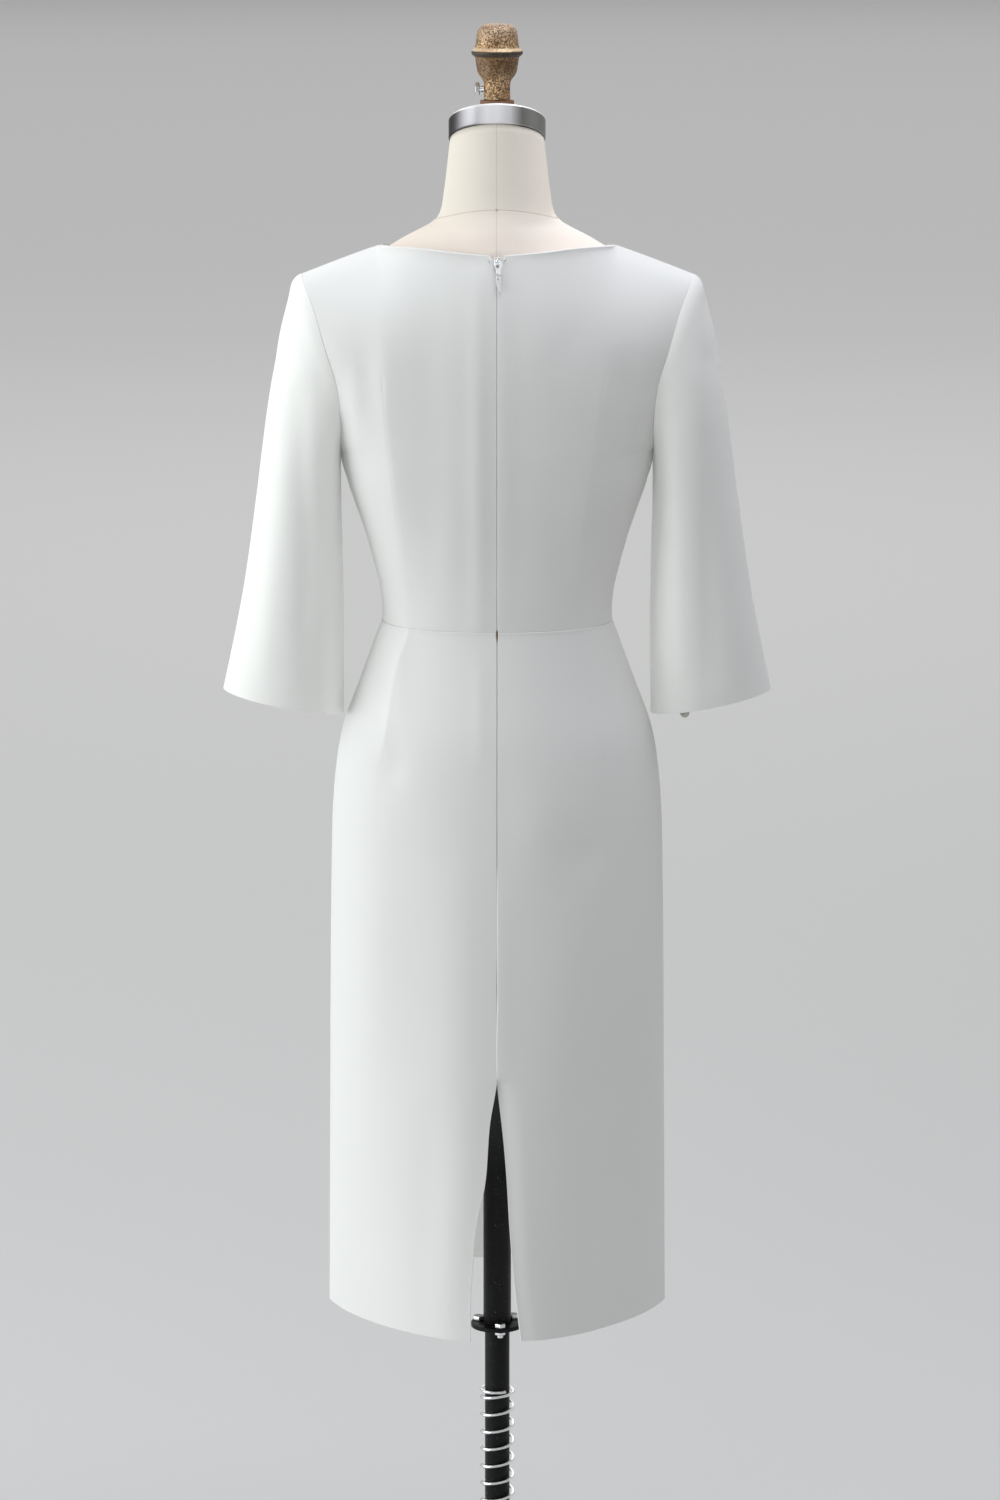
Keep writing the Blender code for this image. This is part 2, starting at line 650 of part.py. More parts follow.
def stand():
    """Everything below the form: tube, flange with three bolts, pole, spring, hub, screw and base plate."""
    flange_low = FLANGE_TOP - FLANGE_THICK
    turned("form_tube", [(TUBE_RADIUS, FLANGE_TOP + SEAM), (TUBE_RADIUS, FORM_BOTTOM - SEAM)], BLACK_PAINT)
    edge = 0.0005
    disc = turned("flange", [
        (FLANGE_RADIUS - edge, flange_low), (FLANGE_RADIUS, flange_low + edge),
        (FLANGE_RADIUS, FLANGE_TOP - edge), (FLANGE_RADIUS - edge, FLANGE_TOP),
    ], BLACK_PAINT, 32)
    bolt_circle, first_bolt = 0.020, math.radians(-81.4)
    for number in range(3):
        turn = first_bolt + number * 2 * math.pi / 3
        centre = bolt_circle * math.cos(turn), bolt_circle * math.sin(turn)
        hole = loft(f"bolt_hole_{number + 1}", [
            circle(0.0034, flange_low - 0.002, 12, centre), circle(0.0034, FLANGE_TOP + 0.002, 12, centre),
        ], BLACK_PAINT)
        cut(disc, hole)
        shank = 0.0030
        head_low, nut_high = FLANGE_TOP + SEAM, flange_low - SEAM
        loft(f"flange_bolt_{number + 1}", [
            circle(shank, nut_high - 0.0066, 12, centre), circle(shank, nut_high - 0.0032, 12, centre),
            hexagon(0.010, nut_high - 0.0032, centre), hexagon(0.010, nut_high, centre),
            circle(shank, nut_high, 12, centre), circle(shank, head_low, 12, centre),
            hexagon(0.010, head_low, centre), hexagon(0.010, head_low + 0.0042, centre),
        ], ZINC, sharp=25)
    turned("pole", [(POLE_RADIUS, POLE_BOTTOM), (POLE_RADIUS, flange_low - SEAM)], BLACK_PAINT)
    hub = turned("hub", [
        (HUB_RADIUS + 0.010, PLATE_THICK + SEAM), (HUB_RADIUS + 0.006, PLATE_THICK + 0.008),
        (HUB_RADIUS, PLATE_THICK + 0.016), (HUB_RADIUS, HUB_TOP - 0.001), (HUB_RADIUS - 0.001, HUB_TOP),
    ], BLACK_PAINT)
    bore_radius = POLE_RADIUS + 0.0004
    bore = turned("hub_bore", [(bore_radius, 0), (bore_radius, HUB_TOP + 0.01)], BLACK_PAINT)
    cut(hub, bore)
    turned("base_plate", [
        (PLATE_RADIUS, 0), (PLATE_RADIUS, 0.008), (PLATE_RADIUS - 0.006, PLATE_THICK),
    ], BLACK_PAINT, 40)


def clamp_screw():
    """The thumb screw that clamps the pole, in the hub's right side."""
    height, start = 0.105, HUB_RADIUS + SEAM
    rings = []
    profile = ((0.005, 0), (0.005, 0.010), (0.016, 0.010), (0.017, 0.012), (0.017, 0.022), (0.015, 0.024))
    for radius, reach in profile:
        ring = circle(radius, 0, 16)
        rings.append(np.stack([0 * ring[:, 0] + start + reach, ring[:, 0], ring[:, 1] + height], -1))
    loft("clamp_screw", rings, BLACK_PAINT)


def spring():
    """A right-handed coil round the pole, standing on the hub, with a closed turn at each end."""
    wire, middle = 0.0017, 0.0163
    bottom, top = HUB_TOP + SEAM + wire, SPRING_TOP - wire
    closed_pitch, open_turns = 2 * wire + 0.0003, 7.45
    turns = open_turns + 2
    steps_per_turn = 12
    count = int(turns * steps_per_turn) + 1
    turn = np.linspace(0, turns, count)
    knots = [0, 1, turns - 1, turns]
    heights = [bottom, bottom + closed_pitch, top - closed_pitch, top]
    height = np.interp(turn, knots, heights)
    angle = 2 * np.pi * (turn - turns) + math.radians(-60)
    section = np.arange(6) * np.pi / 3
    rings = []
    for a, z in zip(angle, height):
        out = middle + wire * np.cos(section)
        rings.append(np.stack([out * math.cos(a), out * math.sin(a), z + wire * np.sin(section)], -1))
    loft("spring", rings, CHROME, sharp=80)


# Zip


def zip_tape(bodice, bodice_directions, skirt, skirt_directions):
    """The zip's tapes and coil as one thin strip behind the centre back seam, moved in from its panels."""
    half_width, thick = 0.011, 0.0010
    clear = SEAM + 0.0001
    skirt_rows = slice(1, SKIRT_BACK_ROWS.index(ZIP_END) + 1)
    panels = np.concatenate([bodice[-2::-1, :2], skirt[skirt_rows, :2]])
    normals = np.concatenate([bodice_directions[-2::-1, :2], skirt_directions[skirt_rows, :2]])
    share = (half_width / panels[:, 1, 0])[:, None]
    edge = panels[:, 0] + share * (panels[:, 1] - panels[:, 0])
    edge_normal = unit(normals[:, 0] + share * (normals[:, 1] - normals[:, 0]))
    centre = panels[:, 0] * (0, 1, 1)
    outer = np.stack([mirrored(edge), centre, edge], axis=1)
    direction = np.stack([mirrored(edge_normal), normals[:, 0], edge_normal], axis=1)
    outside = outer - (WALL + clear) * direction
    wall("zip_tape", outside, outside - thick * direction, ZIP_WHITE)


def slider_place():
    """Where the slider lies on the seam, and how far the cloth there leans from upright."""
    step = 2.0
    below, here, above = -CENTRE_BACK.at("depth", [SLIDER - step, SLIDER, SLIDER + step])
    place = Vector((0, here * MM - SLIDER_OUT, SLIDER * MM + WAIST))
    return place, -math.atan((above - below) / (2 * step))


def extruded(name, outline, low, high, recipe, along="y"):
    """A flat outline thickened along Y, its points in X and Z, or along X, its points in Y and Z."""
    count = len(outline)
    if along == "y":
        points = [(x, y, z) for y in (low, high) for x, z in outline]
    else:
        points = [(x, y, z) for x in (low, high) for y, z in outline]
    faces = [tuple(range(count)), tuple(range(count, 2 * count))]
    faces += [(i, (i + 1) % count, count + (i + 1) % count, count + i) for i in range(count)]
    return add_mesh(name, points, faces, recipe, sharp=30)


def zip_slider():
    """The slider's plate and its crown, the arch that holds the pull tab."""
    place, lean = slider_place()
    outline = [
        (-0.0028, -0.0030), (-0.0018, -0.0042), (0.0018, -0.0042), (0.0028, -0.0030),
        (0.0028, 0.0030), (0.0018, 0.0042), (-0.0018, 0.0042), (-0.0028, 0.0030),
    ]
    plate = extruded("zip_slider", outline, -PLATE_OUT, 0, ZINC)
    foot = -PLATE_OUT + 0.0004
    inside = -PLATE_OUT - CROWN_OPEN
    arch = [
        (foot, -0.0024), (-0.0030, -0.0024), (-0.0038, -0.0016), (-0.0038, 0.0016), (-0.0030, 0.0024),
        (foot, 0.0024), (foot, 0.0013), (inside, 0.0013), (inside, -0.0013), (foot, -0.0013),
    ]
    crown = extruded("zip_crown", arch, -0.0007, 0.0007, ZINC, along="x")
    for piece in (plate, crown):
        piece.location = place
        piece.rotation_euler = (lean, 0, 0)
    crown.hide_render = True
    crown.display_type = "WIRE"
    union = plate.modifiers.new("crown", "BOOLEAN")
    union.operation = "UNION"
    union.object = crown


def zip_pull():
    """The pull tab, hanging by its crossbar in the slider's crown."""
    place, lean = slider_place()
    half = PULL_THICK / 2
    right_side = [
        (0.0026, 0.0005), (0.0038, -0.0012), (0.0039, -0.0050), (0.0028, -0.0080), (0.0027, -0.0220),
        (0.0016, -0.0290), (0.0007, -0.0310),
    ]
    outline = right_side + [(-x, z) for x, z in reversed(right_side)]
    pull = extruded("zip_pull", outline, -half, half, ZIP_WHITE)
    eye_outline = [(-0.0014, -0.0005), (0.0014, -0.0005), (0.0018, -0.0042), (-0.0018, -0.0042)]
    eye = extruded("pull_eye", eye_outline, -0.002, 0.002, ZIP_WHITE)
    eye.parent = pull
    cut(pull, eye)
    across = PLATE_OUT + CROWN_OPEN / 2
    lift = Vector((0, -across * math.cos(lean), -across * math.sin(lean)))
    pull.location = place + lift
    pull.rotation_euler = (lean, 0, 0)


def cuff_button(sleeve_outer, sleeve_inner):
    """A small round button on the inside of the right sleeve's back, half below the hem."""
    radius, thick, turn = 0.0055, 0.003, 119
    column = turn / ARMHOLE_STEP
    low, share = int(column), column % 1
    inner, outer = (
        grid[-1, low] * (1 - share) + grid[-1, low + 1] * share for grid in (sleeve_inner, sleeve_outer)
    )
    inward = unit((inner - outer) * (1, 1, 0))
    across = np.cross(inward, (0, 0, 1))
    start = inner + inward * (SEAM + 0.0006)
    rim, flat_radius = 0.0008, radius * 0.7
    rings = []
    for reach, depth in ((flat_radius, 0), (radius, rim), (radius, thick - rim), (flat_radius, thick)):
        ring = circle(reach, 0, 16)
        flat = ring[:, :1] * across + ring[:, 1:2] * (0, 0, 1)
        rings.append(start + depth * inward + flat)
    loft("cuff_button", rings, ZIP_WHITE)


def build():
    for each in list(bpy.data.objects):
        bpy.data.objects.remove(each)
    back, front = bodice_half(-1), bodice_half(1)
    back_normals = bodice_normals(back, cut_in_one=False)
    front_whole = whole_front(front)
    front_normals = bodice_normals(front_whole, cut_in_one=True)
    right_front_normals = front_normals[:, front_whole.shape[1] // 2 :]
    back_inner, front_inner = back - WALL * back_normals, front_whole - WALL * front_normals
    wall("bodice_back_right", back, back_inner)
    wall("bodice_back_left", mirrored(back), mirrored(back_inner))
    wall("bodice_front", front_whole, front_inner)
    skirt_inners = []
    skirt_back = {}
    for name, side in (("left", -1), ("right", 1)):
        grid = skirt_half(-1, SKIRT_BACK_ROWS, name)
        skirt_back[name] = grid, skirt_normals(grid, cut_in_one=False)
        inner = grid - WALL * skirt_back[name][1]
        grid, inner = grid * (side, 1, 1), inner * (side, 1, 1)
        wall(f"skirt_back_{name}", grid, inner)
        skirt_inners.append(inner)
    skirt_front = whole_front(skirt_half(1, SKIRT_FRONT_ROWS))
    skirt_front_inner = skirt_front - WALL * skirt_normals(skirt_front, cut_in_one=True)
    wall("skirt_front", skirt_front, skirt_front_inner)
    outer, inner = sleeve_walls(back, back_normals, front, right_front_normals)
    wall("sleeve_right", outer, inner, looped=True)
    wall("sleeve_left", mirrored(outer), mirrored(inner), looped=True)
    cuff_button(outer, inner)
    ring = inner[0]
    plates = [armhole_plate(ring), armhole_plate(mirrored(ring))]
    inners = [back_inner, mirrored(back_inner), front_inner, skirt_front_inner, *skirt_inners, *plates]
    form_body(dress_shell(inners))
    zip_tape(back, back_normals, *skirt_back["right"])
    zip_slider()
    zip_pull()
    neck_cap()
    finial()
    finial_bolt()
    stand()
    spring()
    clamp_screw()


build()
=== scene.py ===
# %% [markdown]
# # A white sheath dress on a dress form
#
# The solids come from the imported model, and this script dresses them: it makes each cloth panel again as a
# fine thin shell with its seams, darts and soft folds, gives the form, its metal neck and its stand finer
# surfaces, and mixes a finish for every piece. Lengths in the tables are millimetres, and heights there are
# counted from the waist seam, because that is how a dressmaker measures.

# %% Start: load the frame and keep its box
import math

import bmesh
import bpy
import numpy as np
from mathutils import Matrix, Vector

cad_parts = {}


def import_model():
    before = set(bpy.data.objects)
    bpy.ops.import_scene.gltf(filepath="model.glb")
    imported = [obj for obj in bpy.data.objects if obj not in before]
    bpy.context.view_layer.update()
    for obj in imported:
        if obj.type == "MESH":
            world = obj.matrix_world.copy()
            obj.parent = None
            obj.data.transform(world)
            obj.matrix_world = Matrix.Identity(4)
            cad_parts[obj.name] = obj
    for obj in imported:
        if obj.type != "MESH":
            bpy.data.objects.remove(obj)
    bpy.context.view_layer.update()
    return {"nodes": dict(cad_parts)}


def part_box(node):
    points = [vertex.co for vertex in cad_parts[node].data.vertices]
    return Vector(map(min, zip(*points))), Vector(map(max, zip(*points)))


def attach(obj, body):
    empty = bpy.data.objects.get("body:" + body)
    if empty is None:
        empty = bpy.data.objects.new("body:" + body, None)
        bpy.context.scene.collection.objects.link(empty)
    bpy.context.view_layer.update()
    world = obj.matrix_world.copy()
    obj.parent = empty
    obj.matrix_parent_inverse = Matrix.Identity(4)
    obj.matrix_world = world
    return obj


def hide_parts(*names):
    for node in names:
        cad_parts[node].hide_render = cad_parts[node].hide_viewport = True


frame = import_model()
MM = 0.001
WAIST = 1.080

# %% [markdown]
# ## The camera
#
# The photograph looks down a little at the back of the dress from about five metres with a long lens, so
# the hems bow downwards and the upright lines stay nearly parallel. The lens and the distance were found
# from how much the near bolt of the stand is larger than the far ones, and from how far the hems dip.

# %% Camera
CAMERA_AWAY = 5.06
CAMERA_HEIGHT = 1.9135
CAMERA_ASIDE = 0.0028
CAMERA_PITCH = 10.8
LENS, FILM = 124.8, 36.0
camera = bpy.data.objects.new("camera", bpy.data.cameras.new("camera"))
camera.data.lens = LENS
camera.data.sensor_width = FILM
camera.location = (CAMERA_ASIDE, -CAMERA_AWAY, CAMERA_HEIGHT)
camera.rotation_euler = (math.radians(90 - CAMERA_PITCH), 0, 0)
camera.data.clip_end = 200
bpy.context.scene.collection.objects.link(camera)
bpy.context.scene.camera = camera
print("camera at", tuple(camera.location))

# %% [markdown]
# ## From numbers to a mesh
#
# Every piece here is a surface over two parameters, held as a grid of points. One helper turns a grid into
# faces. Its quads are worked out as whole index arrays, and each corner takes its place on the unrolled
# cloth as its UV, in metres, so that a weave has the same scale on every piece.


# %% Grid helpers
def unit(vectors):
    """Each vector divided by its own length."""
    return vectors / np.maximum(np.linalg.norm(vectors, axis=-1, keepdims=True), 1e-12)


def bell(distance, width, power=2):
    """A smooth hump: 1 at distance 0, 0.37 at this width, then soon nothing. A higher power is flatter."""
    return np.exp(-((distance / width) ** power))


def soft_step(distance, width):
    """0 well before a place, a half at it and 1 well past it, over a few times this width."""
    return 1 / (1 + np.exp(-np.clip(distance / width, -40, 40)))


def quads(rows, columns, looped=False):
    """Corner numbers (row, column) of a grid's quads; in a looped row they run on past the last column."""
    row, column = np.mgrid[: rows - 1, : columns if looped else columns - 1]
    row, column = row.ravel(), column.ravel()
    return np.stack([row, row, row + 1, row + 1], 1), np.stack([column, column + 1, column + 1, column], 1)


def lengths(grid, axis, looped=False):
    """How far each point lies along its row (axis 1) or its column (axis 0), added up step by step."""
    if looped:
        grid = np.concatenate([grid, grid[:, :1]], axis=1)
    steps = np.linalg.norm(np.diff(grid, axis=axis), axis=-1)
    start = np.zeros_like(np.take(steps, [0], axis=axis))
    return np.concatenate([start, np.cumsum(steps, axis=axis)], axis=axis)


def outward(grid, looped=False):
    """The direction square to the surface at each point, from its neighbours along the row and the column."""
    if looped:
        along = np.roll(grid, -1, axis=1) - np.roll(grid, 1, axis=1)
        away = grid - grid.mean(axis=1, keepdims=True)
    else:
        along = np.gradient(grid, axis=1)
        away = grid - grid.mean(axis=(0, 1)) * (0, 0, 1)
    normals = unit(np.cross(along, np.gradient(grid, axis=0)))
    return normals * np.sign((normals * away).sum())


def make(name, points, faces, corner_uvs=None, sharp=45):
    """A mesh object from an array of points, lists of faces and a place on the cloth for each face corner."""
    mesh = bpy.data.meshes.new(name)
    mesh.from_pydata(np.asarray(points).tolist(), [], faces)
    if corner_uvs is not None:
        layer = mesh.uv_layers.new(name="cloth")
        layer.data.foreach_set("uv", np.asarray(corner_uvs, np.float32).ravel())
    shape = bmesh.new()
    shape.from_mesh(mesh)
    bmesh.ops.recalc_face_normals(shape, faces=shape.faces)
    shape.to_mesh(mesh)
    shape.free()
    mesh.shade_smooth()
    mesh.set_sharp_from_angle(angle=math.radians(sharp))
    piece = bpy.data.objects.new(name, mesh)
    bpy.context.scene.collection.objects.link(piece)
    return piece


def closed_shell(name, outer, inner, looped=False, sharp=45):
    """Cloth with two faces: the outer grid, the inner grid, and a narrow wall along each open edge."""
    rows, columns = outer.shape[:2]
    row, column = quads(rows, columns, looped)
    size = rows * columns
    front = row * columns + column % columns
    across, up = lengths(outer, 1, looped), lengths(outer, 0)
    uv = np.stack([across[row, column], up[row, column % columns]], -1)
    faces, uvs = [front, front[:, ::-1] + size], [uv, uv[:, ::-1]]
    for edge_row in (0, rows - 1):
        start = np.arange(columns if looped else columns - 1)
        end = (start + 1) % columns
        low, high = edge_row * columns + start, edge_row * columns + end
        faces.append(np.stack([low, high, high + size, low + size], 1))
        edge_uv = np.stack([across[edge_row, start], up[edge_row, start]], -1)
        uvs.append(np.repeat(edge_uv[:, None], 4, axis=1))
    for edge_column in () if looped else (0, columns - 1):
        start = np.arange(rows - 1)
        low, high = start * columns + edge_column, (start + 1) * columns + edge_column
        faces.append(np.stack([low, high, high + size, low + size], 1))
        edge_uv = np.stack([across[start, edge_column], up[start, edge_column]], -1)
        uvs.append(np.repeat(edge_uv[:, None], 4, axis=1))
    points = np.concatenate([outer.reshape(-1, 3), inner.reshape(-1, 3)])
    piece = make(name, points, np.concatenate(faces).tolist(), np.concatenate(uvs), sharp)
    inside = piece.data.attributes.new("inside", "FLOAT", "POINT")
    inside.data.foreach_set("value", np.repeat([0.0, 1.0], size))
    return piece


def lathe(name, profile, sides=96, centre=(0, 0), sharp=35):
    """A profile of (radius, height) turned about the upright axis; it closes on the axis or on itself."""
    radius, height = np.array(profile, float).T
    turn = np.arange(sides) * 2 * np.pi / sides
    ring = np.stack([np.cos(turn), np.sin(turn), 0 * turn], -1)
    grid = radius[:, None, None] * ring + height[:, None, None] * (0, 0, 1) + (*centre, 0)
    return loft(name, grid, sharp=sharp)


def loft(name, grid, sharp=35, closed=False):
    """Rings of points joined into a skin, with flat ends, or with its last ring joined to its first."""
    if closed:
        grid = np.concatenate([grid, grid[:1]])
    rows, columns = grid.shape[:2]
    row, column = quads(rows, columns, looped=True)
    if closed:
        faces = ((row % (rows - 1)) * columns + column % columns).tolist()
        return make(name, grid[:-1].reshape(-1, 3), faces, sharp=sharp)
    faces = (row * columns + column % columns).tolist()
    faces += [list(range(columns)), list(range((rows - 1) * columns, rows * columns))]
    return make(name, grid.reshape(-1, 3), faces, sharp=sharp)


print("grid helpers ready")

# %% [markdown]
# ## Smooth curves through measured sizes
#
# A pattern cutter draws a curve through a few measured points. Here a table with named columns holds the
# points, and a monotone cubic runs through them, so the line never bulges past a measured size. In the
# skirt's table, "pointed" is how far the section has turned from an oval into two arcs that meet in a point
# at the side seams, from 0 to 1.


# %% Tables of sizes
def smooth(keys, values, at):
    """A smooth curve through the points that never overshoots them: a cubic with limited slopes."""
    keys, values, at = (np.asarray(each, float) for each in (keys, values, at))
    step = np.diff(keys)
    slope = np.diff(values) / step
    bend = np.zeros_like(values)
    bend[0], bend[-1] = slope[0], slope[-1]
    turning = slope[:-1] * slope[1:] > 0
    before, after = 2 * step[1:] + step[:-1], step[1:] + 2 * step[:-1]
    safe = np.where(turning, slope[:-1], 1), np.where(turning, slope[1:], 1)
    bend[1:-1] = np.where(turning, (before + after) / (before / safe[0] + after / safe[1]), 0)
    i = np.clip(np.searchsorted(keys, at, side="right") - 1, 0, len(step) - 1)
    t = np.clip((at - keys[i]) / step[i], 0, 1)
    rise = values[i + 1] - values[i]
    start, end = step[i] * bend[i], step[i] * bend[i + 1]
    return values[i] + t * start + t**2 * (3 * rise - 2 * start - end) + t**3 * (start + end - 2 * rise)


class Table:
    """Rows of sizes in millimetres with named columns, read as smooth curves along the first one."""

    def __init__(self, columns, rows):
        self.columns = columns.split()
        self.rows = np.array(rows, float)

    def at(self, column, key):
        """The named column's value at this place along the first column."""
        return smooth(self.rows[:, 0], self.rows[:, self.columns.index(column)], key)


UNDERARM, TIP, ZIP_END, VENT_TOP = 168.0, 340.5, -229.0, -436.0
NECK_POINT_X, NECK_POINT = 116.0, 368.5
SKIRT = Table("height half_width back front pointed", [
    [-696, 169.6, 151.0, 151.0, 1.0], [-491, 167.5, 138.0, 136.0, 0.5], [-271, 165.0, 124.0, 118.0, 0],
    [-189, 163.0, 117.5, 110.0, 0], [-142, 159.0, 113.0, 106.0, 0], [-101, 151.0, 107.0, 102.0, 0],
    [-71, 140.0, 100.0, 98.0, 0], [-36, 127.0, 91.5, 93.0, 0], [-4, 115.0, 84.0, 88.5, 0],
    [0, 113.2, 83.2, 88.0, 0],
])
SIDE_SEAM = Table("height half_width", [
    [0, 113.0], [20, 113.6], [51, 119.6], [88, 129.6], [127, 143.0], [159, 152.0], [168, 153.0],
])
CENTRE_BACK = Table("height depth", [
    [0, 83.0], [60, 85.5], [127, 92.0], [180, 96.5], [235, 98.0], [290, 94.5], [330, 87.0], [365.5, 76.0],
])
CENTRE_FRONT = Table("height depth", [
    [0, 88.0], [40, 91.5], [80, 99.0], [127, 110.5], [165, 118.0], [195, 119.5], [225, 116.5],
    [260, 107.5], [300, 93.0], [334, 80.0],
])
ARMHOLE = Table("height half_width", [
    [168, 153.0], [190, 151.8], [208.5, 152.4], [241.5, 156.4], [268.5, 165.0], [306, 176.3], [340.5, 190.6],
])
DART = Table("height left right front", [
    [-696, 128.0, 128.0, 120.0], [-121.5, 110.7, 102.1, 100.0], [-80, 104.5, 94.5, 93.0],
    [-33, 95.0, 86.5, 85.5], [0, 85.3, 80.2, 80.0], [23, 88.5, 80.6, 80.8], [79, 93.0, 82.4, 83.5],
    [140, 100.0, 88.7, 87.0], [185, 105.4, 95.5, 89.5], [239.6, 109.7, 102.7, 92.0],
    [368.5, 116.0, 116.0, 116.0],
])
VENT = Table("height left right", [
    [-696, 26.8, 24.7], [-658, 26.4, 20.0], [-608, 23.1, 15.0], [-577, 20.0, 12.6], [-544, 13.0, 10.6],
    [-508, 9.4, 7.8], [-476, 6.8, 4.4], [VENT_TOP, 0.0, 0.0], [0, 0.0, 0.0],
])
SLEEVE_OUTER = Table("height out", [
    [-68.5, 270.5], [24, 251.0], [116, 237.0], [201, 226.0], [279, 212.6], [322, 202.6], [336, 197.2],
    [340.5, 190.9],
])
SLEEVE_INNER = Table("height out", [
    [-92.5, 151.6], [0, 151.8], [60, 152.4], [120, 153.9], [150, 153.9], [168, 153.3],
])
SLEEVE_DEPTH = Table("along back front", [
    [0, 56.0, 50.0], [0.3, 52.0, 50.0], [0.6, 50.0, 50.0], [1.0, 50.0, 51.0],
])
print("tables hold", sum(t.rows.size for t in (SKIRT, CENTRE_BACK, CENTRE_FRONT, ARMHOLE, DART)), "sizes")

# %% [markdown]
# ## The dress's main form
#
# A bodice panel is a stretch of a rounded oval at each height, from the centre line to the side seam or the
# armhole, and its rows bend over the shoulder at the top. First comes a coarse grid of control points, much
# like the one that the solids have. A natural spline through it then gives a fine, even surface. One column
# of the coarse grid lies on the dart, so that the fine columns can crowd there and keep its fold sharp.

# %% Coarse bodice
LOW_ROWS, ARMHOLE_STEP, CENTRE_COLUMNS, SIDE_COLUMNS = 6, 20, 5, 6


def column_angles(dart_angle, full_angle, first_angle=0.0):
    """Angles round a section, with one column on the dart line."""
    inner = np.linspace(0, 1, CENTRE_COLUMNS + 1)[:-1]
    outer = np.linspace(0, 1, SIDE_COLUMNS + 1)
    inner = first_angle + (dart_angle - first_angle) * inner
    return np.concatenate([inner, dart_angle + (full_angle - dart_angle) * outer])


def oval_depth(angle, square):
    """How deep a rounded oval is at this angle from the centre line, as a share of its half depth."""
    return (np.cos(angle) - square * np.cos(3 * angle)) / (1 - square)


def armhole_loop(angle, side):
    """The armhole seam: angle 0 is the shoulder tip and 180 the underarm, on the back (-1) or front (1)."""
    turn = np.radians(angle)
    height = (TIP + UNDERARM) / 2 + (TIP - UNDERARM) / 2 * np.cos(turn)
    depth = SLEEVE_DEPTH.rows[0, 1] if side < 0 else SLEEVE_DEPTH.rows[0, 2]
    narrow = 0 if side < 0 else 5
    out = ARMHOLE.at("half_width", height) - narrow * np.sin(turn) ** 2
    return np.stack([out, side * depth * np.sin(turn), height], axis=-1)


def bodice_top(side):
    """The neckline from the centre to the neck point, then the shoulder seam out to the shoulder tip."""
    turn = np.linspace(0, np.pi / 2, CENTRE_COLUMNS + 1)[:-1]
    centre_height, depth = (CENTRE_BACK if side < 0 else CENTRE_FRONT).rows[-1]
    swell = 3.5 if side < 0 else 0
    neckline = np.stack([
        NECK_POINT_X * np.sin(turn),
        side * depth * np.cos(turn),
        centre_height + (NECK_POINT - centre_height) * np.sin(turn) ** 2 + swell * np.sin(2 * turn) ** 2,
    ], axis=-1)
    along = np.linspace(0, 1, SIDE_COLUMNS + 1)
    shoulder = np.stack([
        NECK_POINT_X + (ARMHOLE.rows[-1, 1] - NECK_POINT_X) * along,
        0 * along,
        NECK_POINT + (TIP - NECK_POINT) * along**1.05,
    ], axis=-1)
    return np.concatenate([neckline, shoulder])


def blurred(shift, times=6):
    """The shift of each column, evened out along the row, with its two ends kept."""
    for _ in range(times):
        middle = (shift[:-2] + 2 * shift[1:-1] + shift[2:]) / 4
        shift = np.concatenate([shift[:1], middle, shift[-1:]])
    return shift


def squareness(side, height):
    """How square a section of the bodice is: the cloth spans the front flat from bust to bust."""
    if side < 0:
        return 0.03 + 0.02 * math.sin(math.pi * min(height / 250, 1))
    return 0.03 + 0.06 * math.exp(-(((height - 175) / 75) ** 2))


def bust(out, height):
    """The fullness that the bust darts give the front."""
    return 5 * np.exp(-(((out - 84) / 42) ** 2) - ((height - 178) / 62) ** 2)


def bodice_half(side, dart):
    """A half bodice at x > 0: rows from the waist to the top edge, with the named dart's line in it."""
    table = CENTRE_BACK if side < 0 else CENTRE_FRONT
    low = np.linspace(0, UNDERARM, LOW_ROWS + 1)[:-1]
    armhole = np.arange(180, -1, -ARMHOLE_STEP)
    rise = (1 + np.cos(np.radians(armhole))) / 2
    centre_heights = np.concatenate([low, UNDERARM + (table.rows[-1, 0] - UNDERARM) * rise])
    edges = np.stack([SIDE_SEAM.at("half_width", low), 0 * low, low], axis=-1)
    edges = np.concatenate([edges, armhole_loop(armhole, side)])
    quarter = np.linspace(math.pi / 2, 0, 91)
    rows = []
    for centre_height, edge in zip(centre_heights, edges):
        depth = float(table.at("depth", centre_height))
        square = squareness(side, centre_height)
        reached = abs(edge[1]) / depth
        full = float(np.interp(reached, oval_depth(quarter, square), quarter))
        dart_angle = math.asin(float(DART.at(dart, centre_height)) / edge[0] * math.sin(full))
        angle = column_angles(dart_angle, full)
        round_part = oval_depth(angle, square)
        out = edge[0] * np.sin(angle) / math.sin(full)
        height = centre_height + (edge[2] - centre_height) * (out / edge[0]) ** 2
        into = side * depth * round_part
        if side > 0:
            into = into + bust(out, height) * np.sqrt(np.clip((round_part - reached) / (1 - reached), 0, 1))
        rows.append(np.stack([out, into, height], axis=-1))
    grid = np.array(rows)
    near_top = np.clip((np.concatenate([0 * low, rise]) - 0.3) / 0.7, 0, 1)
    bend = (1 - np.sqrt(1 - near_top**3))[:, None, None]
    shift = bodice_top(side) - grid[-1]
    return grid + bend * (bend * shift + (1 - bend) * blurred(shift))


coarse_back = {side: bodice_half(-1, side) for side in ("left", "right")}
coarse_front = bodice_half(1, "front")
print("coarse bodice grid", coarse_front.shape)

# %% [markdown]
# ### Skirt and sleeve
#
# A straight skirt is a tube that starts as the waist's oval, rounds over the hips and then hangs. Towards
# the hem its section turns from an oval into two arcs, which meet in a point at the side seams. A sleeve is
# a tube too. Its first ring is the armhole's own seam, and over its upper part it eases into plain ovals.


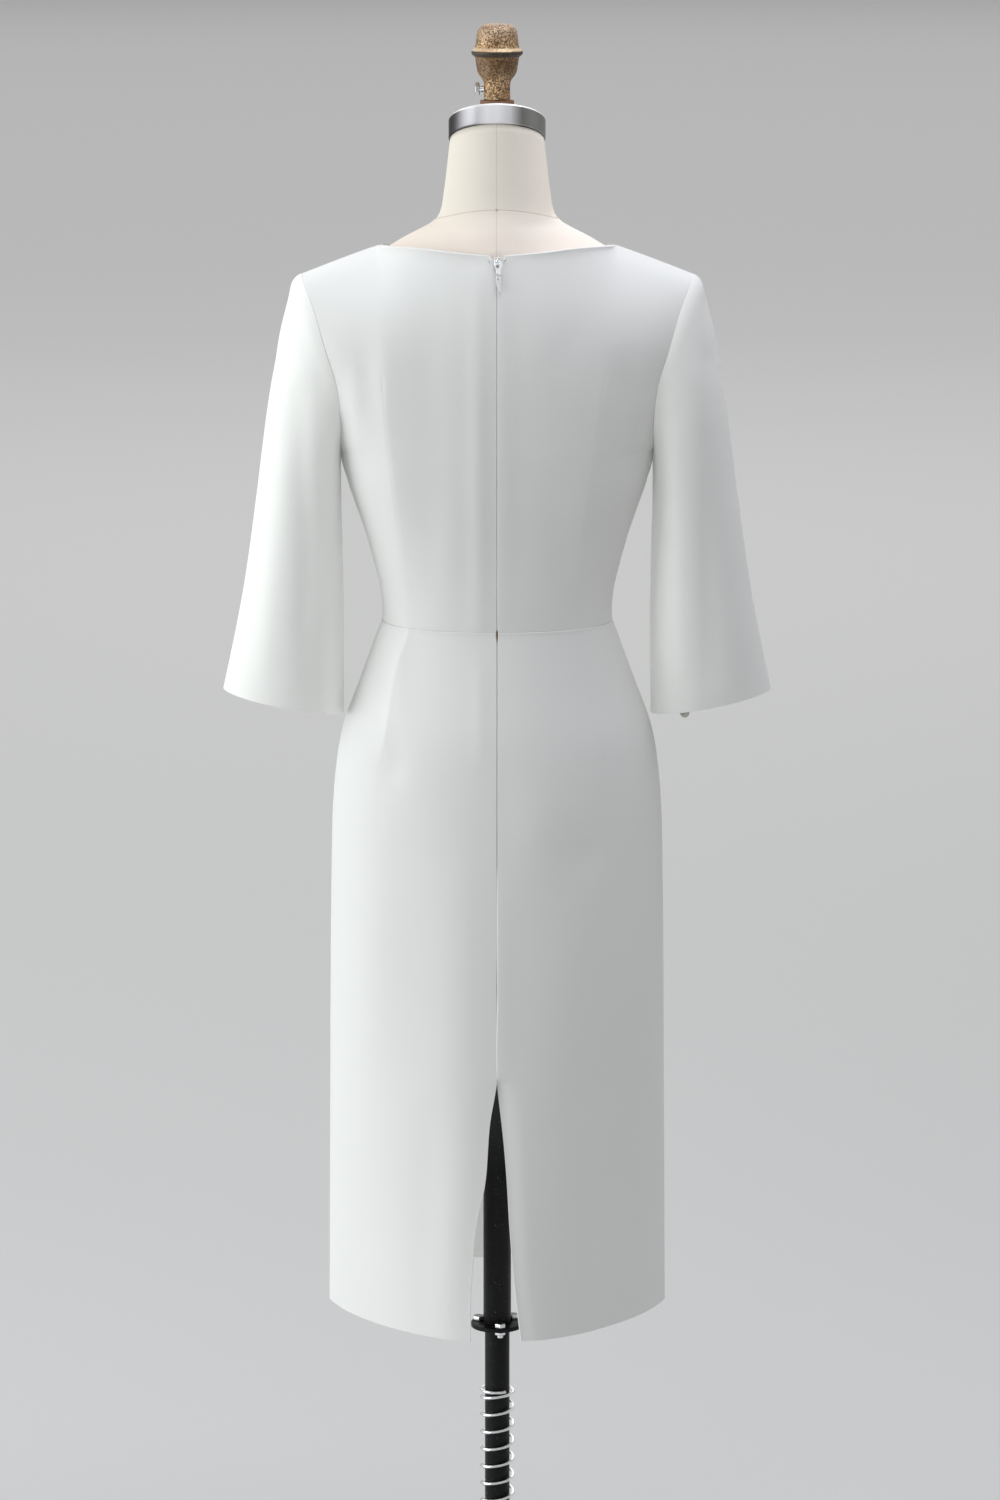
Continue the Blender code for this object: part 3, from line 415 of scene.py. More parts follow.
# %% Coarse skirt and sleeve
SKIRT_ROWS = np.array([
    0, -4, -20, -36, -71, -101, -142, -189, ZIP_END, -300, -370,
    VENT_TOP, -476, -508, -544, -577, -608, -658, -696,
])
SLEEVE_ROWS = np.array([0, 0.012, 0.045, 0.11, 0.2, 0.32, 0.46, 0.6, 0.74, 0.88, 1.0])
WAIST_BLEND = 90  # the bodice's squareness fades out over this much of the skirt


def skirt_half(side, dart, vent_side=None):
    """A half skirt at x > 0: a quarter oval at each height, which towards the hem turns into a flat arc.

    The arc's depth is 1 - 0.87 out^2 - 0.13 out^14. A back half is cut off at the vent's edge.
    """
    half_width = SKIRT.at("half_width", SKIRT_ROWS)
    depth = SKIRT.at("back" if side < 0 else "front", SKIRT_ROWS)
    pointed = SKIRT.at("pointed", SKIRT_ROWS)[:, None]
    start = VENT.at(vent_side, SKIRT_ROWS) if vent_side else 0 * SKIRT_ROWS
    dart_x = DART.at(dart, SKIRT_ROWS)
    square = squareness(side, 0) * np.clip(1 + SKIRT_ROWS / WAIST_BLEND, 0, 1)[:, None] ** 2
    angle = np.array([
        column_angles(math.asin(d / w), math.pi / 2, math.asin(s / w))
        for d, w, s in zip(dart_x, half_width, start)
    ])
    arc = 1 - 0.87 * np.sin(angle) ** 2 - 0.13 * np.sin(angle) ** 14
    shape = (1 - pointed) * oval_depth(angle, square) + pointed * arc
    out, into = half_width[:, None] * np.sin(angle), side * depth[:, None] * shape
    return np.stack([out, into, 0 * out + SKIRT_ROWS[:, None]], axis=-1)


def sleeve_grid(back, front):
    """The right sleeve: ovals between its outer and inner lines, following the armhole at the top."""
    back_edge, front_edge = back[LOW_ROWS:, -1][::-1], front[LOW_ROWS:, -1][::-1]
    armhole_ring = np.concatenate([back_edge, front_edge[-2:0:-1]])
    angle = np.radians(np.arange(0, 360, ARMHOLE_STEP))
    along = SLEEVE_ROWS[:, None]
    outer_height = TIP + (SLEEVE_OUTER.rows[0, 0] - TIP) * along
    inner_height = UNDERARM + (SLEEVE_INNER.rows[0, 0] - UNDERARM) * along
    outer_x, inner_x = SLEEVE_OUTER.at("out", outer_height), SLEEVE_INNER.at("out", inner_height)
    depth = np.where(np.sin(angle) > 0, SLEEVE_DEPTH.at("back", along), SLEEVE_DEPTH.at("front", along))
    grid = np.stack([
        (outer_x + inner_x) / 2 + np.cos(angle) * (outer_x - inner_x) / 2,
        -depth * np.sin(angle),
        (outer_height + inner_height) / 2 + np.cos(angle) * (outer_height - inner_height) / 2,
    ], axis=-1)
    follow = np.clip(1 - SLEEVE_ROWS / 0.4, 0, 1) ** 2
    return grid + follow[:, None, None] * (armhole_ring - grid[0])


coarse_skirt = {side: skirt_half(-1, side, side) for side in ("left", "right")}
coarse_skirt_front = skirt_half(1, "front")
coarse_sleeve = sleeve_grid(coarse_back["right"], coarse_front)
print("coarse skirt", coarse_skirt_front.shape, "coarse sleeve", coarse_sleeve.shape)

# %% [markdown]
# ## A fine surface through the coarse points
#
# A natural cubic spline runs through the control points along the rows, and another along the columns. As
# a spline is linear in its points, each one is a matrix of weights, and the fine grid is one matrix product
# on either side. The fine columns crowd together by the seams and darts, where the cloth turns sharply. At
# the neck point the top edge has a true corner. Just below it the cloth is evened out, or the corner would
# run on down the panel as a crease.


# %% Splines
CROWD = np.array([0, 0.35, 0.7, 1.1, 1.6, 2.3, 3.3, 4.8])
ROW_STEP, COLUMN_STEP = 3.4, 2.2
EASE_WIDTH = 11.0


def spline_weights(knots, at):
    """Weights that turn values at the knots into a natural cubic spline's values at other places."""
    count, step = len(knots), np.diff(knots)
    bends, pulls, same = np.eye(count), np.zeros((count, count)), np.eye(count)
    inner = np.arange(1, count - 1)
    bends[inner, inner - 1], bends[inner, inner + 1] = step[:-1], step[1:]
    bends[inner, inner] = 2 * (step[:-1] + step[1:])
    pulls[inner, inner - 1], pulls[inner, inner + 1] = 6 / step[:-1], 6 / step[1:]
    pulls[inner, inner] = -6 / step[:-1] - 6 / step[1:]
    curve = np.linalg.solve(bends, pulls)
    i = np.clip(np.searchsorted(knots, at, side="right") - 1, 0, count - 2)
    gap, past, left = step[i][:, None], (at - knots[i])[:, None], (knots[i + 1] - at)[:, None]
    straight = (left * same[i] + past * same[i + 1]) / gap
    bent = (left**3 / gap - gap * left) * curve[i] + (past**3 / gap - gap * past) * curve[i + 1]
    return straight + bent / 6


def places(marks, step):
    """Places from the first mark to the last: close together beside each mark, then in even steps."""
    spots = [marks[:1]]
    for low, high in zip(marks[:-1], marks[1:]):
        near = CROWD[CROWD < (high - low) / 2.2]
        count = max(2, round((high - low - 2 * near[-1]) / step) + 1)
        middle = np.linspace(low + near[-1], high - near[-1], count)
        spots += [low + near[1:-1], middle, high - near[1:-1][::-1], [high]]
    joined = np.concatenate(spots)
    return joined[np.concatenate([[True], np.diff(joined) > 1e-6])]


def fine(grid, row_marks, column_marks, looped=False, corners=(), cornered=None):
    """The spline surface through a coarse grid; marks are numbers of coarse rows and columns to crowd at.

    A row mixes two splines, one with a corner at each column in corners and one without any. The row's
    number in cornered is the share of the first.
    """
    row_knots = lengths(grid, 0).mean(axis=1)
    if looped:
        count = grid.shape[1]
        around = lengths(grid, 1, looped=True).mean(axis=0)
        knots = np.concatenate([around[:-1] - around[-1], around[:-1], around[:-1] + around[-1]])
        at = places(around[list(column_marks)], COLUMN_STEP)[:-1]
        weights = spline_weights(knots, at).reshape(len(at), 3, count).sum(axis=1)
    else:
        knots = lengths(grid, 1).mean(axis=0)
        at = places(knots[list(column_marks)], COLUMN_STEP)
        weights = spline_weights(knots, at)
    up = spline_weights(row_knots, places(row_knots[list(row_marks)], ROW_STEP))
    smooth_rows = np.einsum("ijk,cj->ick", grid, weights)
    if corners:
        bounds = [0, *corners, len(knots) - 1]
        split = 0 * weights
        for low, high in zip(bounds[:-1], bounds[1:]):
            here = (at >= knots[low]) & (at <= knots[high])
            split[np.ix_(here, range(low, high + 1))] = spline_weights(knots[low : high + 1], at[here])
        share = cornered[:, None, None]
        smooth_rows = (1 - share) * smooth_rows + share * np.einsum("ijk,cj->ick", grid, split)
    return np.einsum("ri,ick->rck", up, smooth_rows)


def cut_in_one(half):
    """A front panel: its right half and that half's mirror image, joined on the centre line."""
    return np.concatenate([(half * (-1, 1, 1))[:, :0:-1], half], axis=1)


HALF_MARKS = (0, CENTRE_COLUMNS, -1)
FRONT_MARKS = (0, SIDE_COLUMNS, SIDE_COLUMNS + 2 * CENTRE_COLUMNS, -1)
SLEEVE_MARKS = (0, 180 // ARMHOLE_STEP, 360 // ARMHOLE_STEP)
cornered = np.zeros(len(coarse_front))
cornered[-3:] = 0.08, 0.4, 1.0
fine_back = {
    side: fine(grid, (0, -1), HALF_MARKS, corners=HALF_MARKS[1:-1], cornered=cornered)
    for side, grid in coarse_back.items()
}
fine_skirt = {side: fine(grid, (0, -1), HALF_MARKS) for side, grid in coarse_skirt.items()}
fine_front = fine(
    cut_in_one(coarse_front), (0, -1), FRONT_MARKS, corners=FRONT_MARKS[1:-1], cornered=cornered,
)
fine_skirt_front = fine(cut_in_one(coarse_skirt_front), (0, -1), FRONT_MARKS)
fine_sleeve = fine(coarse_sleeve, (0, -1), SLEEVE_MARKS, looped=True)


def eased_neck(grid):
    """The grid with the crease below each neck point evened out along its row, and its top edge kept."""
    along = lengths(grid, 1).mean(axis=0)
    below = lengths(grid, 0)
    below = below[-1:] - below
    weight = np.gradient(along) * bell(along[:, None] - along, EASE_WIDTH)
    evened = np.einsum("cd,rdk->rck", weight / weight.sum(axis=1, keepdims=True), grid)
    beside = np.abs(np.abs(grid[-1:, :, 0]) - NECK_POINT_X)
    share = np.clip(below / 8, 0, 1) * bell(below, 38) * bell(beside, 26, 4)
    ends = np.clip(np.minimum(along, along[-1] - along) / 25, 0, 1)
    return grid + (share * ends)[..., None] * (evened - grid)


fine_back = {side: eased_neck(grid) for side, grid in fine_back.items()}
fine_front = eased_neck(fine_front)
print("fine grids", fine_back["left"].shape, fine_skirt["left"].shape, fine_front.shape, fine_sleeve.shape)

# %% [markdown]
# ## Folds, darts and turned edges
#
# Cloth on a form shows its make by small changes of slope, because a slope that faces the light is bright and
# one that turns away is grey. Each fold here is a soft ridge or trough along a line of points, with a height
# and a width, set where the photograph shows it. A dart is a pinch of cloth sewn to a point: the cloth rises
# to a crest along it, with a thin groove at the stitches and a small pucker past its tip. At a seam each
# panel's edge turns in on a small radius.


# %% Fold helpers
def away_from(grid, line):
    """Each point's distance from a line of (across, height) places, and its share of the way along it."""
    line = np.array(line, float)
    start, run = line[:-1], np.diff(line, axis=0)
    size = np.linalg.norm(run, axis=1)
    offset = grid[..., None, [0, 2]] - start
    share = np.clip((offset * run).sum(-1) / size**2, 0, 1)
    gap = np.linalg.norm(offset - share[..., None] * run, axis=-1)
    nearest = gap.argmin(axis=-1)
    before = np.concatenate([[0], np.cumsum(size)])
    along = before[nearest] + np.take_along_axis(share, nearest[..., None], -1)[..., 0] * size[nearest]
    return gap.min(axis=-1), along / before[-1]


def soft_folds(grid, folds):
    """The lift off the surface from a list of (lift, width, line): soft ridges above 0 and troughs below."""
    lift = 0 * grid[..., 0]
    for height, width, line in folds:
        gap, along = away_from(grid, line)
        fade = np.sin(np.pi * np.clip(0.12 + 0.76 * along, 0, 1)) ** 0.7
        lift = lift + height * fade * bell(gap, width)
    return lift


def dart_fold(grid, line_x, tip, towards, crest=1.1):
    """A sewn dart up to its tip: a sharp-crested ridge with a thin groove, and a small pucker past the tip.

    The ridge falls off exponentially on both sides of the line, so its crest is an edge. The groove, the
    pucker and the dimple at the tip are bells.
    """
    gap = np.abs(grid[..., 0]) - line_x
    past = (grid[..., 2] - tip) * towards
    groove = 0.22 * bell(gap, 0.7) + 0.22 * bell(gap, 3.0)
    ridge = crest * np.exp(-np.abs(gap) / 7)
    pucker = 0.7 * bell(gap, 12) * bell(past - 10, 26)
    dimple = 0.45 * bell(gap, 2.2) * bell(past - 1, 7)
    return soft_step(-past, 5) * (ridge - groove) + pucker - dimple


def turned_in(distance, radius=1.0):
    """How far a seam's edge has sunk at this distance from the seam: a quarter of a circle."""
    left = np.clip(1 - distance / radius, 0, 1)
    return radius * (1 - np.sqrt(1 - left**2))


def from_edges(grid, looped=False):
    """Distances along the cloth from the first and last column and from the first and last row."""
    across, up = lengths(grid, 1, looped), lengths(grid, 0)
    if looped:
        across = across[:, :-1]
    return across, across[:, -1:] - across, up, up[-1:] - up


print("fold helpers ready")

# %% [markdown]
# ### The creases of this dress
#
# Read off the photograph one by one. Numbers are the fold's lift and width, then its places as millimetres
# out from the centre line and above the waist. A sheath fits closely, so none is much over three millimetres
# high or deep, and they differ from side to side as real ones do. Those of the front are made up, like the
# back's but in other places.

# %% The creases, one list for each panel
FOLDS = {
    "back_left": [
        (0.6, 10, [(98, 22), (103, 179), (109, 304)]),
        (-1.5, 16, [(119, 236), (127, 256), (131, 280)]),
        (1.0, 9, [(137, 256), (138, 200), (137, 159)]),
        (1.7, 10, [(18, 345), (18, 180), (17, 6)]),
        (-1.7, 22, [(64, 330), (68, 250), (66, 150), (60, 30)]),
        (0.7, 16, [(45, 120), (50, 60), (54, 20)]),
    ],
    "back_right": [
        (1.5, 13, [(4, 345), (4, 180), (4, 6)]),
        (1.2, 24, [(41, 342), (41, 300), (41, 256)]),
        (-0.7, 14, [(75, 300), (65, 262)]),
        (-1.4, 13, [(118, 262), (124, 240), (128, 215)]),
        (1.2, 8, [(137, 250), (137, 205), (136, 165)]),
        (-0.8, 15, [(55, 140), (60, 80), (58, 30)]),
    ],
    "skirt_left": [
        (1.5, 12, [(94, -20), (95, -85)]),
        (-2.0, 14, [(104, -121), (106, -150)]),
        (0.9, 9, [(16, -32), (16, -121)]),
        (-1.5, 30, [(89, -190), (86, -300), (84, -420)]),
        (1.2, 26, [(128, -210), (132, -360), (134, -560)]),
        (1.7, 30, [(34, -250), (36, -430), (38, -640)]),
        (-1.3, 18, [(66, -480), (70, -580), (74, -690)]),
    ],
    "skirt_right": [
        (2.0, 24, [(42, -150), (42, -215)]),
        (-1.8, 18, [(86, -200), (86, -240)]),
        (1.5, 14, [(3, -250), (3, -360), (4, -440)]),
        (-1.2, 26, [(108, -270), (112, -420), (116, -600)]),
        (1.2, 28, [(66, -330), (70, -480), (74, -690)]),
        (-1.1, 18, [(38, -500), (44, -600), (50, -690)]),
    ],
    "front": [
        (1.0, 22, [(-66, 120), (-60, 60), (-58, 10)]), (1.1, 20, [(60, 110), (58, 50), (57, 10)]),
        (-1.3, 15, [(-120, 250), (-128, 220)]), (-1.2, 14, [(119, 256), (127, 226)]),
        (-0.8, 26, [(-6, 300), (2, 220), (4, 150)]),
    ],
    "skirt_front": [
        (1.4, 30, [(-44, -200), (-48, -420), (-52, -680)]),
        (-1.3, 26, [(-96, -260), (-104, -440), (-112, -690)]),
        (1.3, 28, [(58, -220), (62, -430), (66, -680)]),
        (-1.4, 26, [(10, -330), (12, -500), (14, -690)]),
        (-1.1, 22, [(108, -300), (114, -460), (120, -690)]),
    ],
    "sleeve_left": [
        (-3.2, 13, [(192, 225), (190, 160), (184, 70), (187, 0), (181, -60)]),
        (3.0, 10, [(160, 150), (162, 60), (160, -60)]),
        (1.5, 13, [(213, 160), (220, 60), (228, -40)]),
        (-1.3, 12, [(203, 262), (214, 250)]),
    ],
    "sleeve_right": [
        (2.2, 10, [(172, 190), (174, 100), (178, -40)]),
        (-2.8, 15, [(203, 180), (206, 60), (209, -43)]),
        (1.2, 13, [(229, 110), (236, 30), (242, -40)]),
        (-1.2, 12, [(198, 272), (208, 250)]),
    ],
}
BODICE_TIP, SKIRT_TIP = 239.6, -121.5
FRONT_BODICE_TIP, FRONT_SKIRT_TIP = 148, -95
BODICE_REACH, SKIRT_REACH = 112, 60  # how far past its tip a dart is still worked out
print({name: len(folds) for name, folds in FOLDS.items()})

# %% [markdown]
# ### Back bodice
#
# Two panels meet at the zip. Each has one long dart from the waist to the shoulder blade. Its edges turn in
# at the zip, the waist, the side seam, the armhole and the shoulder seam, and on a larger radius along the
# neckline, where a facing makes the edge thicker. By the zip the neckline dips in a small V and stands a
# little open, because the zip's tape pulls the two corners down. Along the zip the edges leave a hairline,
# which widens at the waist seam, where the tape shows.


# %% Make the back bodice
CLOTH = 1.3
ZIP_GAP = 0.2
NECK_CORNER, NECK_DIP, NECK_OPENING = 7.0, 6.0, 3.4
sheets = {}


def world(grid):
    """From the tables' millimetres above the waist to metres above the floor."""
    return grid * MM + (0, 0, WAIST)


def shell_of(name, grid, lift, edge, rests_on, mirror=1, looped=False):
    """A panel's shell and its flat size.

    The outer face is the grid moved along its normals by each point's lift. The inner face lies the cloth's
    thickness behind it, and more at an edge. The flat size is the longest row and column of the outer face.
    """
    normals = outward(grid, looped)
    outer = grid + lift[..., None] * normals
    inner = outer - (CLOTH + edge)[..., None] * normals
    flip = (mirror, 1, 1)
    piece = closed_shell(name, world(outer * flip), world(inner * flip), looped)
    across, up = lengths(outer, 1, looped), lengths(outer, 0)
    middle = (outer[1:] + outer[:-1]) / 2
    width = lengths(middle, 1, looped)[:, -1]
    area = float((width * np.diff(up, axis=0).mean(axis=1)).sum()) * MM**2
    flat = (float(across[:, -1].max()) * MM, float(up[-1].max()) * MM)
    sheets[name] = (piece, flat, area, rests_on)
    print(name, "flat size", [round(each, 3) for each in flat], "faces", len(piece.data.polygons))


def thick_edge(distance):
    """Extra thickness where an edge is turned under and faced."""
    return 0.7 * bell(distance, 9, 4)


def waist_slit(grid, seam):
    """How far the zip's edge stands back at the waist seam, this far along the cloth from the zip."""
    return 0.8 * bell(grid[..., 2] + 3, 5, 4) * bell(seam, 3)


def back_panel(side):
    """A back panel: the spline surface, lifted by its folds and dart and sunk by a quarter circle at seams.

    By the zip the neck corner moves down by a squared ramp, which dies away exponentially below the edge. The
    zip's edge also moves outwards, by bells across it: the neck's opening, the hairline and the waist's slit.
    """
    grid = fine_back[side]
    seam, outer_side, low, top = from_edges(grid)
    shoulder = soft_step(grid[-1:, :, 0] - NECK_POINT_X, 1.5)
    lift = soft_folds(grid, FOLDS[f"back_{side}"])
    lift += dart_fold(grid, DART.at(side, grid[..., 2]), BODICE_TIP, 1)
    lift -= turned_in(seam, 0.7) + turned_in(outer_side, 0.4) + turned_in(low, 0.2)
    lift -= shoulder * turned_in(top, 0.5) + (1 - shoulder) * turned_in(top, 1.5)
    corner = np.clip(1 - grid[-1, :, 0] / NECK_CORNER, 0, 1) ** 2
    grid = grid - (0, 0, 1) * (NECK_DIP * corner * np.exp(-top / 14))[..., None]
    opening = NECK_OPENING * np.clip(1 - top / 9, 0, 1) ** 1.6 * bell(seam, 6)
    grid = grid + (1, 0, 0) * opening[..., None]
    grid = grid + (1, 0, 0) * (waist_slit(grid, seam) + ZIP_GAP * bell(seam, 3))[..., None]
    edge = (1 - shoulder) * thick_edge(top)
    shell_of(f"dress_back_{side}", grid, lift, edge, ["dress_form"], -1 if side == "left" else 1)


back_panel("left")
back_panel("right")

# %% [markdown]
# ### Front bodice
#
# The front is cut in one with no centre seam. The photograph shows the back only, so the front is finished
# like it: a waist dart on each side, and a short bust dart from each side seam.

# %% Make the front bodice
BUST_DART = [(148, 132), (96, 168)]


def front_panel():
    """The front: the spline surface lifted by its folds and waist darts and sunk at its seams.

    Each bust dart is a groove, two bells across its line, which fades out towards the dart's tip.
    """
    grid = fine_front
    left_side, right_side, low, top = from_edges(grid)
    shoulder = soft_step(np.abs(grid[-1:, :, 0]) - NECK_POINT_X, 1.5)
    lift = soft_folds(grid, FOLDS["front"])
    waist_darts = dart_fold(grid, DART.at("front", grid[..., 2]), FRONT_BODICE_TIP, 1)
    lift += waist_darts * (grid[..., 2] < FRONT_BODICE_TIP + BODICE_REACH)
    gap, along = away_from(np.abs(grid), BUST_DART)
    lift -= (1 - along) ** 0.3 * (0.25 * bell(gap, 0.8) + 0.25 * bell(gap, 3.5))
    lift -= turned_in(left_side, 0.4) + turned_in(right_side, 0.4) + turned_in(low, 0.35)
    lift -= shoulder * turned_in(top, 0.5) + (1 - shoulder) * turned_in(top, 1.5)
    shell_of("dress_front", grid, lift, (1 - shoulder) * thick_edge(top), ["dress_form"])


front_panel()

# %% [markdown]
# ### Skirt
#
# The skirt hangs from the waist seam over the hips. Its back is two panels with a dart each, joined down the
# centre to the vent, where each panel is turned under and left free. There its edge curls in a little, the
# right one more than the left. The front is one panel. The hem is turned up and sewn by hand, so the cloth
# above it shows the least pucker.


# %% Make the skirt
HEM_STITCHES = 34
SKIRT_CREST = {"left": 2.4, "right": 1.4, "front": 1.4}
VENT_CURL = {"left": -0.5, "right": -3.2}


def skirt_lift(grid, darts, fold_list, tip):
    """The lift that all the skirt's panels share, and each point's distances from the edges.

    To the folds and the dart it adds a bell just below the waist seam, which turns in at its edge, and along
    the hem's stitches a shallow bell with a sine wave on it.
    """
    first, last, waist, hem = from_edges(grid)
    lift = soft_folds(grid, fold_list)
    dart = dart_fold(grid, DART.at(darts, grid[..., 2]), tip, -1, SKIRT_CREST[darts])
    lift += dart * (grid[..., 2] > tip - SKIRT_REACH)
    lift += 0.7 * bell(waist, 3.0) - turned_in(waist, 0.8)
    lift += 0.12 * bell(hem - HEM_STITCHES + 1, 3.5) * np.sin(grid[..., 0] * 0.55)
    lift -= 0.12 * bell(hem - HEM_STITCHES, 2.0)
    return lift, first, last, hem


def skirt_back(side):
    """A back panel: the shared lift, sunk at its seams, with a bell-shaped curl along the vent's edge.

    Its centre edge stands back by the zip's hairline, and below the zip it reaches a little further in. The
    cloth is thicker where it is turned under at the hem and the vent.
    """
    grid = fine_skirt[side]
    lift, centre, outer_side, hem = skirt_lift(grid, side, FOLDS[f"skirt_{side}"], SKIRT_TIP)
    sewn = soft_step(grid[..., 2] - VENT_TOP, 1.5)
    lift -= sewn * turned_in(centre, 0.9) + turned_in(outer_side, 0.8)
    lift += (1 - sewn) * VENT_CURL[side] * bell(centre, 11)
    zipped = soft_step(grid[..., 2] - ZIP_END, 2)
    gap = zipped * ZIP_GAP - (sewn - zipped) * 0.1
    grid = grid + (1, 0, 0) * (waist_slit(grid, centre) + gap * bell(centre, 3))[..., None]
    edge = np.maximum(thick_edge(hem), (1 - sewn) * 2.2 * thick_edge(centre))
    shell_of(f"dress_skirt_{side}", grid, lift, edge, [f"dress_back_{side}"], -1 if side == "left" else 1)


def skirt_front_panel():
    """The front panel: the shared lift, sunk by a quarter circle at both side seams."""
    grid = fine_skirt_front
    lift, left_side, right_side, hem = skirt_lift(grid, "front", FOLDS["skirt_front"], FRONT_SKIRT_TIP)
    lift -= turned_in(left_side, 0.8) + turned_in(right_side, 0.8)
    shell_of("dress_skirt_front", grid, lift, thick_edge(hem), ["dress_front"])


skirt_back("left")
skirt_back("right")
skirt_front_panel()

# %% [markdown]
# ### Sleeves
#
# A set-in sleeve is a tube with one seam under the arm. Its cap holds a little more cloth than the armhole,
# eased in, so it stands just proud of the bodice at the seam. With no arm in it the tube hangs in long soft
# folds, which run down from the back of the armhole.


# %% Make the sleeves
OTHER = {"left": "right", "right": "left"}


def sleeve(side):
    """A sleeve: the spline tube lifted by its own folds behind, and by the other sleeve's, softer, in front.

    A bell along the upper armhole gives the cap's ease, and a narrow one down the inner side is the
    underarm seam's groove.
    """
    grid = fine_sleeve
    _, _, cap, hem = from_edges(grid, looped=True)
    behind = soft_step(-grid[..., 1], 6)
    lift = behind * soft_folds(grid, FOLDS[f"sleeve_{side}"])
    lift += (1 - behind) * 0.8 * soft_folds(grid + (6, 0, 0), FOLDS[f"sleeve_{OTHER[side]}"])
    upper = np.clip((grid[..., 2] - UNDERARM) / 60, 0, 1)
    lift += upper * 0.5 * bell(cap - 6, 7) - turned_in(cap, 0.4)
    columns_away = np.abs(np.arange(grid.shape[1]) - (grid.shape[1] + 1) // 2)
    lift -= 0.5 * bell(columns_away * 0.9, 1.2) * (cap > 1)
    lift -= 0.12 * bell(hem - 32, 2.0)
    rests_on = [f"dress_back_{side}", "dress_front"]
    mirror = -1 if side == "left" else 1
    shell_of(f"dress_sleeve_{side}", grid, lift, thick_edge(hem), rests_on, mirror, looped=True)


sleeve("left")
sleeve("right")
cloth_nodes = {
    "dress_back_left": "bodice_back_left", "dress_back_right": "bodice_back_right",
    "dress_front": "bodice_front",
    "dress_skirt_left": "skirt_back_left", "dress_skirt_right": "skirt_back_right",
    "dress_skirt_front": "skirt_front",
    "dress_sleeve_left": "sleeve_left", "dress_sleeve_right": "sleeve_right",
}
for name, node in cloth_nodes.items():
    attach(sheets[name][0], "dressed_form")
    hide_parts(node)
print("cloth triangles", sum(2 * len(sheets[name][0].data.polygons) for name in cloth_nodes))

# %% [markdown]
# ## The dress form
#
# The form's body is a stiff shell covered in linen. Only its neck and the tops of its shoulders show, inside
# the neckline. Its solid is already the right shape but coarse, so a copy of that mesh is merged, its
# triangles joined to quads and smoothed by subdivision, which keeps it inside the dress.


# %% Form body
def copy_of(node, name):
    """A new piece with a copy of a solid's mesh, its doubled corners merged."""
    mesh = frame["nodes"][node].data.copy()
    mesh.materials.clear()
    shape = bmesh.new()
    shape.from_mesh(mesh)
    shape.transform(frame["nodes"][node].matrix_world)
    bmesh.ops.remove_doubles(shape, verts=shape.verts, dist=1e-6)
    bmesh.ops.join_triangles(shape, faces=shape.faces, angle_face_threshold=1.2, angle_shape_threshold=1.2)
    bmesh.ops.recalc_face_normals(shape, faces=shape.faces)
    crease = shape.edges.layers.float.new("crease_edge")
    for edge in shape.edges:
        edge[crease] = 1.0 if edge.calc_face_angle(0) > math.radians(55) else 0.0
    shape.to_mesh(mesh)
    shape.free()
    mesh.shade_smooth()
    piece = bpy.data.objects.new(name, mesh)
    bpy.context.scene.collection.objects.link(piece)
    return piece


def settle(piece, node, body="dressed_form"):
    """The piece rides on its body in place of its solid, which is hidden."""
    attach(piece, body)
    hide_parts(node)
    return piece


form = copy_of("form_body", "dress_form")
finer = form.modifiers.new("finer", "SUBSURF")
finer.levels = finer.render_levels = 2
bpy.context.view_layer.update()
settle(form, "form_body")
print("form body", len(form.data.polygons), "faces before subdivision")

# %% [markdown]
# ### Neck cap
#
# A brushed metal cap closes the neck. It leans forward with the neck's top, and its upper edge is rounded
# so that it shows as a bright line. One profile is carried round an oval. Each corner of a profile gets a
# small curve, here and on the turned pieces below, since no real edge is perfectly sharp.

# %% Neck cap
CAP_AXIS, CAP_SLOPE = 1.5705, math.tan(math.radians(21.6))
NECK_TOP_WIDTH, NECK_TOP_BACK, NECK_TOP_FRONT = 45.7, 46.5, 46.0


def cap_ring(drop, grow, sides=144):
    """The neck's top oval, grown and dropped by this many millimetres, on the leaning plane.

    Its half depth differs a little between front and back. All its radii grow by one factor.
    """
    turn = np.arange(sides) * 2 * np.pi / sides
    depth = np.where(np.sin(turn) > 0, NECK_TOP_FRONT, NECK_TOP_BACK)
    ring = np.stack([NECK_TOP_WIDTH * np.cos(turn), depth * np.sin(turn), 0 * turn], -1)
    ring *= (1 + grow / NECK_TOP_FRONT) * MM
    ring[:, 2] = CAP_AXIS - drop * MM - CAP_SLOPE * ring[:, 1]
    return ring


def rounded(profile, radius, steps=5):
    """A profile of (across, up) with its inner corners rounded.

    Each corner becomes the middle point of a quadratic Bezier curve, whose ends lie this radius away from
    it, or a little under half of a short side.
    """
    points = [np.array(profile[0], float)]
    for before, corner, after in zip(profile[:-2], profile[1:-1], profile[2:]):
        before, corner, after = (np.array(each, float) for each in (before, corner, after))
        back, on = before - corner, after - corner
        reach = min(radius, 0.45 * np.linalg.norm(back), 0.45 * np.linalg.norm(on))
        start, end = corner + unit(back) * reach, corner + unit(on) * reach
        for t in np.linspace(0, 1, steps):
            points.append((1 - t) ** 2 * start + 2 * t * (1 - t) * corner + t**2 * end)
    points.append(np.array(profile[-1], float))
    return np.array(points)


cap_profile = rounded([(-14, 19.6), (0.5, 19.6), (1.3, 19.0), (1.3, 2.0), (-0.9, 0.0), (-20, 0.0)], 0.9)
cap = loft("cap", np.array([cap_ring(drop, grow) for grow, drop in cap_profile]))
settle(cap, "neck_cap")
print("cap", len(cap.data.polygons), "faces")

# %% [markdown]
# ### Collar and finial
#
# A washer-like collar fills the wedge between the leaning cap and the upright finial, so its lower end
# leans and its upper end is level. The finial is sand cast and then turned: a stem, a bulb, a sharp ring
# and a flat dome, each a stretch of one profile.

